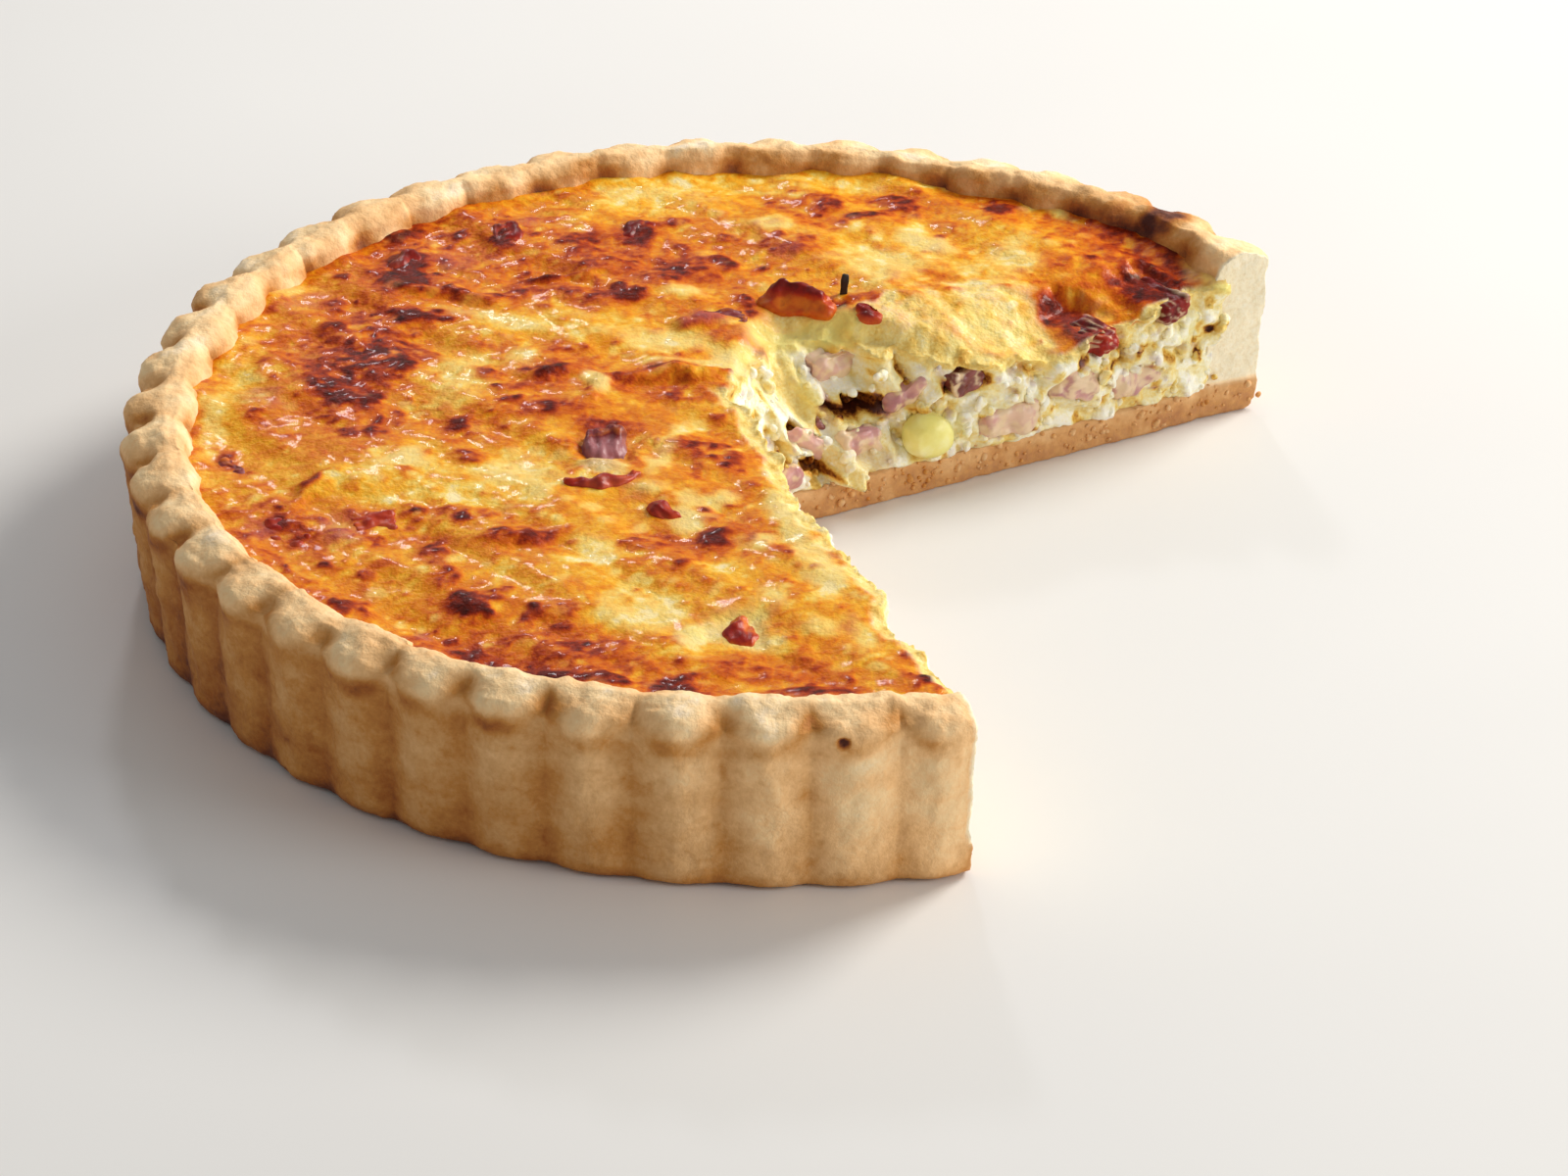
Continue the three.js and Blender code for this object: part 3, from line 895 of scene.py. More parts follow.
BROWN_SPOTS = spots(
    # the large blistered patch on the left
    (-76, 14, 24, 18, 80, 0.70), (-77, 4, 7, 5, 0, 0.98), (-70, 5, 5, 4.5, 0, 0.95),
    (-77, 12, 16, 5, 70, 0.82), (-67, 17, 12, 7, 80, 0.80), (-74, 21, 7, 3, 20, 0.86),
    (-68, 25, 8, 9, 0, 0.72), (-79, 30, 7, 12, 0, 0.70), (-66, 37, 14, 5, 5, 0.78),
    (-80, 42, 5, 7, 0, 0.66), (-90, 18, 14, 4, 75, 0.60),
    # back left, up to the rim
    (-67, 60, 7, 12, 8, 0.90), (-68, 52, 12, 9, 0, 0.93), (-60, 47, 14, 4, -28, 0.74),
    (-49, 47, 13, 4.5, 20, 0.76), (-41, 54, 12, 4, 12, 0.86), (-71, 73, 6, 8, 0, 0.82),
    (-62, 72, 12, 7, 0, 0.62), (-50, 70, 5, 9, -10, 0.93), (-36, 68, 5, 10, -10, 0.74),
    (-25, 74, 6, 11, -20, 0.88), (-19, 79, 7, 5, 0, 0.68), (-32, 60, 10, 6, 0, 0.64),
    (-18, 57, 13, 8, 5, 0.74), (-9, 61, 4, 4.5, 0, 0.92), (-31, 46, 8, 5, 0, 0.72),
    (-26, 46.5, 4.5, 4, 0, 0.95), (-39, 47, 9, 6, 0, 0.60), (-5, 46, 5, 4, 0, 0.72),
    (-13, 37, 11, 5, 12, 0.62), (-6, 33, 14, 8, 0, 0.52), (11, 88, 6, 7, 0, 0.70), (23, 88, 7, 8, 0, 0.78),
    (16.5, 83, 5, 3, 0, 0.90),
    # the middle
    (-50, 15, 4, 7, 0, 0.66), (-46, 9, 11, 4, 10, 0.62), (-40, 16, 8, 8, 20, 0.84),
    (-19, 11, 16, 9, 0, 0.52), (-26, 15, 5, 5, 40, 0.70), (-20, 18.4, 9, 2.6, 18, 0.80),
    (-12, 19.6, 8, 2.4, 0, 0.86), (-5, 17.6, 7, 2.4, -25, 0.78), (-40, 2, 14, 6, 12, 0.64),
    (-54, -5, 5, 7, -20, 0.78), (-69, -6, 2.5, 7, -10, 0.80), (-29, -3, 9, 6, 0, 0.76),
    (-24, -17, 6, 5, 0, 0.56), (-13, -10, 10, 10, 0, 0.60), (-13, -10, 5, 5, 0, 0.74),
    (-5, -15, 5, 9, 0, 0.56), (-52, -15, 7, 4, 0, 0.68), (-63, -23, 4, 4, 0, 0.52),
    # front left
    (-78, -28, 10, 3, 62, 0.70), (-81, -42, 12, 6, -50, 0.76), (-90, -38, 12, 2, 15, 0.60),
    (-69, -39, 8, 8, 0, 0.66), (-68, -47, 7, 4, 0, 0.74), (-60, -36, 4, 4, 0, 0.56),
    (-53, -37, 8, 7, 0, 0.58), (-42, -45, 14, 7, 0, 0.70), (-40, -46, 7, 4, 0, 0.80),
    (-56, -50, 3, 6, 0, 0.74), (-54, -59, 5, 9, 0, 0.68), (-50, -69, 6.5, 8.5, 0, 0.98),
    (-40, -72, 4, 7, 0, 0.70), (-35, -72, 7, 7, 0, 0.60), (-9, -45, 5, 7, 0, 0.74),
    (-20, -46, 9, 6, 0, 0.56), (-94, -18, 3, 8, 25, 0.76),
    # along the front rim
    (-69, -70, 5, 6, -40, 0.70), (-80, -58, 12, 2, -55, 0.60), (-47, -86, 11, 5, -30, 0.84),
    (-37, -90.5, 12, 4, -20, 0.80), (-26, -93.5, 9, 3.5, -14, 0.84), (-30, -84, 18, 8, -10, 0.62),
    (-15, -95, 8, 5.5, -4, 0.96), (8, -96, 14, 3.5, 4, 0.72), (-2, -90, 18, 5, 0, 0.56),
    (26, -92, 6, 4, 20, 0.74),
    # back right
    (43, 85, 5, 5, 0, 0.84), (33, 79, 6, 6, 0, 0.56), (2, 69, 12, 7, 0, 0.60), (64, 81, 14, 7, -45, 0.70),
    (74, 70, 10, 14, -20, 0.68), (70, 59, 14, 12, -30, 0.82), (67, 55, 5, 4, 0, 0.92),
    (75, 55, 7, 9, -30, 0.92), (54, 48, 14, 8, -55, 0.88), (60, 39, 13, 8, -60, 0.86),
    (52, 64, 8, 7, 0, 0.52), (38, 33, 6, 4, 0, 0.50), (49, 30, 7, 4, 0, 0.48), (17, 46.5, 7, 5, 0, 0.60),
    (27, 47, 5, 3, 0, 0.46), (45, 36, 6, 4, 30, 0.52), (33, 52, 6, 3, -20, 0.44),
    (12.4, 43.2, 9, 5, -25, 0.68),
)

PALE_SPOTS = spots(
    (-12.5, -79, 6, 10, 0, 0.90), (-21, -71, 14, 13, 0, 0.50), (-4.5, -75, 13, 14, 0, 0.95),
    (-14, -37, 7, 9, 20, 0.85), (-9, -29, 8, 5, 60, 0.80), (-20, -28, 7, 6, 0, 0.60),
    (4, -39, 7, 28, 12, 0.80), (11, -56, 6, 18, 14, 0.55), (-3, 23, 16, 10, -20, 0.90),
    (-21, 31, 26, 8, -8, 0.55), (-50, 37, 20, 4, -22, 0.80), (-30.5, 13, 4, 9, 20, 0.90),
    (-55, 13, 9, 22, -8, 0.40), (-45, 22, 5, 8, 0, 0.50), (-63, -18, 9, 9, 0, 0.80),
    (-45, -22, 13, 12, 0, 0.60), (-40, -28, 5, 7, 0, 0.60), (-28, -20, 8, 9, 0, 0.90),
    (-18, -12, 4, 26, -12, 0.60), (-29, -49, 8, 12, 0, 0.35), (-98, -8, 5, 30, 0, 0.35),
    (-93, 50, 8, 10, 60, 0.60), (-35.5, -71.5, 3, 3.5, 0, 0.70), (30, 72, 14, 7, -35, 0.80),
    (22, 62, 22, 16, 0, 0.50), (44, 66, 10, 16, 0, 0.45), (0, 77, 8, 7, 0, 0.55), (-16, 48, 6, 6, 0, 0.60),
    (80, 62, 5, 16, 10, 0.60), (53, 88, 3, 14, 35, 0.55), (-25, 92, 18, 6, 6, 0.30),
    (2, -66, 6, 10, 10, 0.50), (15, -78, 6, 12, 10, 0.45), (5, 36, 22, 9, 14, 0.60),
    (-12, 22.5, 18, 4, 5, 0.75), (-45, -80, 4, 3, 0, 0.30), (9, -53, 9, 18, 12, 0.80),
    (-2, -46, 7, 8, 0, 0.60), (-12, -31, 8, 7, 0, 0.55), (9, -76, 7, 8, 0, 0.50),
)

BARE_SPOTS = spots(
    (38, 42, 48, 26, 12, 1.0), (22, 42, 16, 14, 0, 1.0), (63, 28, 20, 8, 30, 1.0),
    (12, 33, 22, 10, 30, 1.0), (-8.8, -76.0, 3.0, 9, 8, 1.0), (-0.8, -79.6, 5, 4, 0, 1.0),
    (-30.5, -21.5, 9, 4.6, 0, 1.0),
)

PINK_SPOTS = spots(
    (-91, 55, 12, 8, 60, 0.50), (-86, 44, 12, 7, 60, 0.40), (-90, 5, 8, 9, 0, 0.55),
    (-73, -43, 7, 13, 0, 0.60), (-86, -43, 6, 8, 0, 0.45), (-12, 38, 12, 5, 10, 0.60),
    (-29, -9, 8, 13, 0, 0.80), (-29, -20, 8, 8, 0, 0.30), (-46, 79, 8, 5, 60, 0.45),
    (-59, 62, 10, 10, 0, 0.30), (57, 44, 16, 6, -62, 0.30), (-57, -78, 4, 4, 0, 0.50),
    (-24, -28, 5, 8, 20, 0.30), (2, 66, 8, 5, 40, 0.30),
)

CHEESY_SPOTS = spots(
    # melted cheese with a green cast
    (6, 37, 24, 9, 14, 0.75), (-3, 27, 14, 5, -15, 0.25), (-4.5, -70, 12, 5, 0, 0.35),
    (-11, -77, 4, 9, 0, 0.40), (83, 62, 5, 16, 10, 0.55), (40, 40, 26, 12, 12, 0.25),
)

CALM_SPOTS = spots(
    # smooth sheets of melted cheese
    (4, 36, 26, 11, 14, 1.0), (-3, 24, 18, 9, -20, 0.7),
)

RIDGES = spots(
    # folds of the crust that the oven has lifted: the tone is their height in mm
    (-16, 16.5, 24, 6, 5, 1.9), (-40, 15.0, 12, 6, 15, 0.9), (-30, 11.0, 14, 4, 70, 0.7),
    (-60, 47.0, 24, 5, -20, 0.9), (-38, 54.0, 24, 4, 12, 0.8), (-13, 37.0, 14, 6, 12, 1.0),
    (-43, -46.0, 16, 6, 0, 0.8), (-78, -30.0, 18, 5, 60, 0.8), (70, 60.0, 16, 8, -40, 1.0),
)

# how far these pieces of ham stand out of the custard, in mm, and how far the others do
STANDING = {
    "ham_top_01": 4.4,
    "ham_top_02": 0.9,
    "ham_top_03": 2.6,
    "ham_top_04": 0.7,
    "ham_top_05": 0.4,
    "ham_top_12": 0.7,
    "ham_top_14": 0.5,
    "ham_top_15": 0.5,
}
PLAIN_STANDING = 0.5


@dataclass
class BrownedTop:
    """The top of the custard: its height and its colour, worked out over a fine raster."""

    tin: Tin
    sector: Sector
    half: float = 112.0
    step: float = 0.4
    strands: int = 360
    strand_length: tuple = (5.0, 15.0)
    strand_width: tuple = (0.9, 1.9)
    strand_reach: float = 101.0
    flecks: int = 1500
    fleck_reach: float = 100.0
    plain_tone: float = 0.38
    darkest_tone: float = 0.88
    crest: float = 1.2  # how far the middle has risen
    sag: float = 6.5  # how far the edge of the far cut has sunk
    dome: float = 0.35  # the height of a blister
    raster: Raster = field(init=False)

    def __post_init__(self) -> None:
        """Works the fields out once."""
        self.raster = Raster(-self.half, -self.half, 2 * self.half, 2 * self.half, self.step)
        self._work_out()

    def level(self, x: Array, y: Array) -> Array:
        """The height of the top without its fine relief, sagging along the far cut."""
        along, _ = self.sector.directions(Side.FAR)
        rel_x = x - self.sector.apex[0]
        rel_y = y - self.sector.apex[1]
        distance = rel_x * along[0] + rel_y * along[1]
        behind = -rel_x * along[1] + rel_y * along[0]
        sag = self.sag * bell(distance, 66, 24) * bell(np.maximum(0, behind), 0, 8)
        crest = self.crest * bell(np.hypot(x, y), 62, 40)
        uneven = 0.8 * relief(x, y, 46, 0.4) + 0.4 * relief(x, y, 19, 2.2)
        return self.tin.fill + crest + uneven - sag

    def _strand_fields(self) -> tuple[Array, Array]:
        """Ridges and tones of the shreds of grated cheese that haven't quite melted away."""
        rng = np.random.default_rng(41)
        raster = self.raster
        height = np.zeros_like(raster.u)
        tone = np.zeros_like(raster.u)
        for _ in range(self.strands):
            radius = self.strand_reach * math.sqrt(rng.random())
            bearing, turn = rng.random(2) * 2 * math.pi
            length, width = rng.uniform(*self.strand_length), rng.uniform(*self.strand_width)
            bow, shade, rise = rng.normal(0, 0.02), rng.normal(-0.02, 0.08), rng.uniform(0.01, 0.05)
            middle = radius * math.cos(bearing), radius * math.sin(bearing)
            window, u, v = raster.around(*middle, turn, length / 2 + width)
            past = np.maximum(0, np.abs(u) - length / 2)
            near = np.clip(1 - np.hypot(past, v + bow * u * u) / width, 0, 1)
            height[window] = np.maximum(height[window], rise * np.sqrt(near))
            tone[window] += shade * smooth(near, 0.0, 0.6)
        return height, np.clip(tone, -0.22, 0.2)

    def _fleck(self, brown: Array, pale: Array, dome: Array) -> None:
        """Scatters small blisters: brown ones where the top is baked, orange and pale ones elsewhere."""
        rng = np.random.default_rng(52)
        raster = self.raster
        rough = raster.waves(1.7, 15)
        for _ in range(self.flecks):
            radius = self.fleck_reach * math.sqrt(rng.random())
            bearing, turn = rng.random(2) * 2 * math.pi
            size, squeeze, pick = 0.5 + 1.8 * rng.random() ** 2, rng.uniform(0.45, 1.0), rng.random()
            middle = radius * math.cos(bearing), radius * math.sin(bearing)
            window, u, v = raster.around(*middle, turn, 1.8 * size)
            cover = 1 - smooth(np.hypot(u, v / squeeze) / size + 0.35 * rough[window], 0.6, 1.2)
            baked = brown[raster.nearest(*middle)] > 0.42
            if pick < (0.55 if baked else 0.38):
                brown[window] += (0.22 if baked else 0.17) * cover
                dome[window] = np.maximum(dome[window], 0.5 * cover)
            elif pick < 0.9:
                brown[window] -= 0.15 * cover
                pale[window] = np.maximum(pale[window], (0.1 if baked else 0.3) * cover)

    def _work_out(self) -> None:
        """Fills the raster with height, brown, pale, pink, cheesy, and bare, where the skin is gone."""
        raster = self.raster
        waves = raster.waves
        warp_x = 1.9 * waves(11, 1) + 1.2 * waves(3.6, 2) + 0.5 * waves(1.5, 12)
        warp_y = 1.9 * waves(11, 3) + 1.2 * waves(3.6, 4) + 0.5 * waves(1.5, 13)
        wx, wy = raster.u + warp_x, raster.v + warp_y
        radius = np.hypot(raster.u, raster.v)
        medium, small, tiny = waves(7, 6, 3), waves(2.6, 7), waves(1.3, 8)
        ridge = 1 - np.abs(waves(3.0, 9)) * 2
        crumbly = waves(2.1, 14)

        brown = np.full_like(raster.u, self.plain_tone)
        tint(brown, ZONES, wx, wy, 0.35, 1.35)
        brown += 0.05 * waves(24, 5, 2) + 0.085 * medium
        pale = np.zeros_like(brown)
        torn_edge = 0.45 * medium + 0.25 * small
        for spot in PALE_SPOTS:
            cover = spot.cover(wx, wy, 0.4, 1.3, torn_edge)
            brown += (0.12 - brown) * cover * 0.8
            pale += (spot.tone - pale) * cover
        dome = np.zeros_like(brown)
        for spot in BROWN_SPOTS:
            cover = spot.cover(wx, wy, 0.45, 1.3)
            halo = spot.cover(wx, wy, 0.7, 2.6) * (spot.tone > 0.7)
            brown = np.maximum(brown, brown + (0.60 - brown) * 0.75 * halo)
            brown += (spot.tone - brown) * cover
            pale *= 1 - 0.85 * np.maximum(cover, 0.6 * halo)
            dome = np.maximum(dome, cover * min(1.0, 0.5 + 0.06 * spot.width))
        self._fleck(brown, pale, dome)
        pale = np.maximum(pale, 0.25 * smooth(waves(6, 16, 2), 0.35, 0.7) * (1 - smooth(brown, 0.3, 0.42)))
        pink, cheesy = np.zeros_like(brown), np.zeros_like(brown)
        tint(pink, PINK_SPOTS, wx, wy, 0.4, 1.3)
        tint(cheesy, CHEESY_SPOTS, wx, wy, 0.4, 1.3)
        calm = mask(CALM_SPOTS, wx, wy, 0.7, 1.15)
        bare = mask(BARE_SPOTS, wx, wy, 0.75, 1.1, 0.25 * medium)
        bare *= (1 - smooth(brown, 0.40, 0.5)) * np.clip(0.55 + 0.6 * waves(3.2, 17, 2), 0, 1)

        found = self.sector.behind(raster.points, self.tin.fill)
        behind, s = (values.reshape(radius.shape) for values in found)
        torn = bell(s, 26, 17) * smooth(s, 0, 8)
        border = 2.2 + 5.0 * torn - 1.2 * smooth(s, 52, 66)
        frayed = behind + 0.8 * medium + 0.6 * small
        bare = np.maximum(bare, 1 - smooth(frayed, 0.45 * border, 1.15 * border)) * (1 - 0.9 * calm)

        strand_height, strand_tone = self._strand_fields()
        baked = smooth(brown, 0.4, 0.75)
        brown += strand_tone * (1 - 0.6 * pale) * (1 - calm)
        brown += (1 - calm) * (small * (0.08 + 0.16 * baked) + tiny * (0.06 + 0.14 * baked))
        rim = smooth(radius, 95, 101)
        brown += 0.12 * rim * smooth(ridge, 0.2, 0.9)

        lively = 1 - 0.8 * calm
        height = self.level(raster.u, raster.v)
        height += lively * (0.16 * medium + 0.13 * small * (0.6 + 0.8 * baked) + 0.06 * tiny)
        height += lively * strand_height * (1 - 0.3 * baked) + self.dome * dome + 0.16 * baked * ridge
        height += bare * lively * (1.2 * np.abs(crumbly) + 0.4 * medium + 0.1 * tiny - 0.5)
        height += 0.2 * pale * (1 - baked)
        for fold in RIDGES:
            height += fold.tone * fold.cover(wx, wy, 0.1, 1.3) * (1 + 0.3 * small)
        height += rim * (0.5 + 0.5 * waves(9, 11))
        height -= (0.7 + 3.4 * torn) * bell(np.maximum(0, behind), 0, 1.1 + 4.0 * torn)
        for node in nodes_with("ham_top"):
            places = node_points(node)
            outline = Outline.around(places[:, :2])
            off = outline.distance(wx, wy) + 0.2 * small
            crown = places[:, 2].max() - STANDING.get(node, PLAIN_STANDING)
            height += np.maximum(0, crown - height) * (1 - smooth(off, 0.75, 1.9)) * 0.7
            if node in STANDING:
                height -= np.maximum(0, height - crown) * (1 - smooth(off, 0.8, 1.5))
        raster.fields = {
            "height": height,
            "brown": np.clip(brown, 0, self.darkest_tone),
            "pale": np.clip(pale * (0.8 + 0.5 * small), 0, 0.9),
            "pink": np.clip(pink * (0.8 + 0.5 * small), 0, 0.9),
            "cheesy": np.clip(cheesy * (0.85 + 0.4 * small), 0, 0.9),
            "bare": bare,
            "crumbly": 0.5 + 0.5 * crumbly,
        }

    def at(self, name: str, x: Array, y: Array) -> Array:
        """A field's values at places of the top."""
        return self.raster.at(name, x, y)


# ---------------------------------------------------------------- the curds of the cut faces
DENTS = spots(
    # hollows of the faces: the tone is their depth in mm, below 0 for a swelling
    # the torn part of the far cut
    (28.5, 16.4, 13, 3.0, -4, 6.0), (15.2, 15.2, 8, 2.4, -38, 3.6), (17.0, 8.8, 9, 4.0, -20, 4.0),
    (35.4, 22.0, 3.4, 9, 0, -2.2), (39.9, 22.0, 3.0, 10, 8, -2.0), (37.8, 21.0, 1.5, 7, 8, 3.2),
    (47.2, 19.6, 9.5, 5.0, 0, 4.2), (33.5, 12.5, 7, 4, 30, 2.5),
    # the rest of it
    (58, 21, 6, 2.4, 0, 2.2), (63, 16, 7, 3.0, 0, 3.0), (73, 20, 5, 2.2, -25, 2.0),
    (80.2, 18.3, 2.2, 6, 12, 3.0), (78, 9.5, 9, 2.2, 0, 2.6), (91, 16, 5, 3.4, 0, 2.6),
    # the near cut
    (-20, 17, 8, 3.6, 0, 3.2), (-42, 22, 7, 2.8, 0, 3.0), (-44, 9.5, 8, 2.4, 0, 2.8),
    (-59, 13, 6, 3.4, 0, 3.2), (-77, 22, 7, 2.8, 0, 2.6), (-92, 11, 7, 3.4, 0, 2.8),
)

FACE_PAINTED_SHADING = spots(
    # painted shade in hollows and shadow lines and painted light on the crests of folds: a tone of 0 is brown
    # and 1 is cream
    (26, 10, 18, 9, 0, 0.74), (18.5, 20, 6, 10, 10, 0.60), (28.5, 16.3, 13.5, 3.4, -4, -0.16),
    (31, 16.6, 3, 1.4, 0, 0.10), (29, 12.5, 4, 3, 0, 0.26), (38.5, 15.5, 2.5, 2, 0, 0.24),
    (15.2, 15.2, 7.5, 2.0, -38, 0.02), (17.0, 9.0, 7, 3.2, -20, 0.06), (35.4, 22.5, 3.0, 9, 0, 0.80),
    (39.9, 21.5, 2.6, 11, 8, 0.95), (37.7, 20.8, 1.2, 6, 8, 0.10), (43, 25, 3, 1.8, 0, 0.22),
    (47.4, 19.6, 10, 5.0, 0, 0.0), (56, 22.5, 8, 3, 0, 0.66), (80.2, 18.3, 1.8, 5, 12, 0.14),
    (90.5, 15, 3, 2.6, 0, 0.24), (60, 20.5, 3, 2, 0, 0.26), (53.5, 23.0, 2.5, 1.6, 0, 0.24),
    (66, 14.5, 2.5, 2, 0, 0.26), (71.5, 21.5, 3, 1.4, 0, 0.30), (97.5, 19.5, 1.6, 4, 0, 0.28),
    (-24, 18, 4, 2, 0, 0.24), (-47, 14, 4, 2.4, 20, 0.22), (-68, 19, 3, 2, 0, 0.26),
    (-84, 12, 4, 2.4, -20, 0.24),
)

FACE_PINKS = spots(
    (24.0, 22.0, 3, 5, 0, 0.60), (22.5, 16.2, 2.4, 4, 0, 0.55), (25.5, 11.5, 11, 3, -30, 0.50),
    (30, 8.5, 9, 4, 0, 0.45), (33.5, 14.8, 7, 3, 40, 0.65), (41.5, 15.8, 7, 2.6, 35, 0.55),
    (44.5, 6, 7, 3, 0, 0.60), (58, 13, 7, 4, 0, 0.50), (68, 17.5, 3, 2, 0, 0.50), (86, 14, 8, 4, 0, 0.35),
    (-14, 15, 13, 7, 0, 0.35), (-52, 12, 10, 5, 0, 0.35), (-75, 16, 12, 4, 0, 0.30),
)

FACE_CHEESES = spots(
    (26, 27.8, 20, 4.4, 0, 0.60), (20.5, 19.5, 3, 8, 10, 0.30), (33.3, 24.5, 3, 4, 0, 0.25),
    (45, 11, 5, 6, 0, 0.25), (64, 22, 10, 2.6, -10, 0.25), (72, 14.5, 12, 3, 0, 0.25),
    (94, 21, 8, 8, 0, 0.25), (-30, 24, 14, 3, 0, 0.25), (-60, 8.5, 14, 3, 0, 0.25),
)

FACE_CALMS = spots(
    (26, 28.2, 24, 5.0, 0, 0.9), (17.5, 20, 5, 9, 5, 0.6), (35.5, 22.5, 3, 8, 0, 0.4),
    (40, 22.5, 3, 9, 8, 0.4),
)


@dataclass
class CurdRelief:
    """The lumpy relief of set custard where a knife and a slice have pulled it apart, and its tints with
    painted light and shade.
    """

    sector: Sector
    fill: float
    reach: float = 134.0
    low: float = -2.0
    high: float = 36.0
    step: float = 0.3
    lumps: int = 12000
    lump_span: tuple = (-110.0, 112.0)
    lump_heights: tuple = (2.0, 32.0)
    # the painted shadow deep in a cavity
    darkest_shade_tone: float = -0.16
    raster: Raster = field(init=False)

    def __post_init__(self) -> None:
        """Works out how far the curds stand out, and their tints with painted light and shade, over a raster
        of both faces.
        """
        self.raster = Raster(-self.reach, self.low, 2 * self.reach, self.high - self.low, self.step)
        waves = self.raster.waves
        ws = self.raster.u + 0.9 * waves(3.1, 24) + 0.5 * waves(1.3, 25)
        wz = self.raster.v + 0.9 * waves(3.1, 26) + 0.5 * waves(1.3, 27)
        calm = mask(FACE_CALMS, ws, wz, 0.7, 1.15)
        fine = self._lumps(ws, wz) * (1 - 0.8 * calm) - 0.3 * calm
        fine += 0.9 * waves(6, 21, 3) * (1 - 0.5 * calm) + 0.35 * waves(0.9, 22) * (1 - 0.8 * calm)
        drawn = self.raster.points * (1.0, 0.3, 1.0)
        fine += 0.6 * bell(ws, 36, 9) * layered(drawn, 3.0, 2, 28).reshape(ws.shape)
        stand = fine.copy()
        ragged = 0.12 * waves(2.4, 23)
        for dent in DENTS:
            stand -= dent.tone * dent.cover(ws, wz, 0.3, 1.5, ragged)
        for node in nodes_with("_cut_"):
            places = node_points(node)
            s, out = self.sector.locate(places)
            outline = Outline.around(np.column_stack([s, places[:, 2]]))
            q = outline.distance(ws, wz)
            rise = float((out - self.sector.face(s, places[:, 2], self.fill)).max())
            ring = smooth(q, 0.6, 0.95) * (1 - smooth(q, 1.05, 1.7))
            stand += np.maximum(0, rise - 0.2 - stand) * ring * np.clip(0.75 + 0.7 * waves(2.8, 29), 0, 1)
        # paler where the curds stand out and darker in their hollows, as painted light and shade
        curd = 0.57 + 0.22 * np.clip(fine + 0.2, -2.5, 2.0) + 0.20 * waves(4.2, 33, 2)
        curd -= 0.55 * smooth(waves(3.0, 36, 2), 0.30, 0.65)
        tint(curd, FACE_PAINTED_SHADING, ws, wz, 0.6, 1.2, 0.95)
        pink, cheesy = np.zeros_like(ws), np.zeros_like(ws)
        tint(pink, FACE_PINKS, ws, wz, 0.3, 1.3)
        pink = np.maximum(pink, 0.7 * smooth(waves(2.3, 38, 2), 0.38, 0.65))
        tint(cheesy, FACE_CHEESES, ws, wz, 0.3, 1.3)
        flecked = 0.6 + 0.7 * waves(1.8, 34)
        self.raster.fields = {
            "stand": stand,
            "curd": np.clip(curd, self.darkest_shade_tone, 1),
            "pink": np.clip(pink * flecked, 0, 0.9),
            "cheesy": np.clip(cheesy * (0.85 + 0.4 * waves(2.4, 35)), 0, 0.9),
        }

    def _lumps(self, ws: Array, wz: Array) -> Array:
        """The relief of the curds, whose outlines follow the warped places."""
        rng = np.random.default_rng(7)
        stand = np.full_like(ws, -2.0)
        for _ in range(self.lumps):
            cs, cz = rng.uniform(*self.lump_span), rng.uniform(*self.lump_heights)
            radius = 0.45 + 1.9 * rng.random() ** 2.6
            squash, base = rng.uniform(0.65, 1.35), rng.normal(-0.8, 0.55)
            window = self.raster.window(cs, cz, 1.5 * radius + 1.4)
            d2 = ((ws[window] - cs) * squash) ** 2 + ((wz[window] - cz) / squash) ** 2
            bump = base + 0.8 * np.sqrt(np.maximum(0, radius**2 - d2))
            stand[window] = np.where(d2 < radius**2, np.maximum(stand[window], bump), stand[window])
        return stand

    def at(self, name: str, s: Array, z: Array) -> Array:
        """A field's values at places of the faces."""
        return self.raster.at(name, s, z)


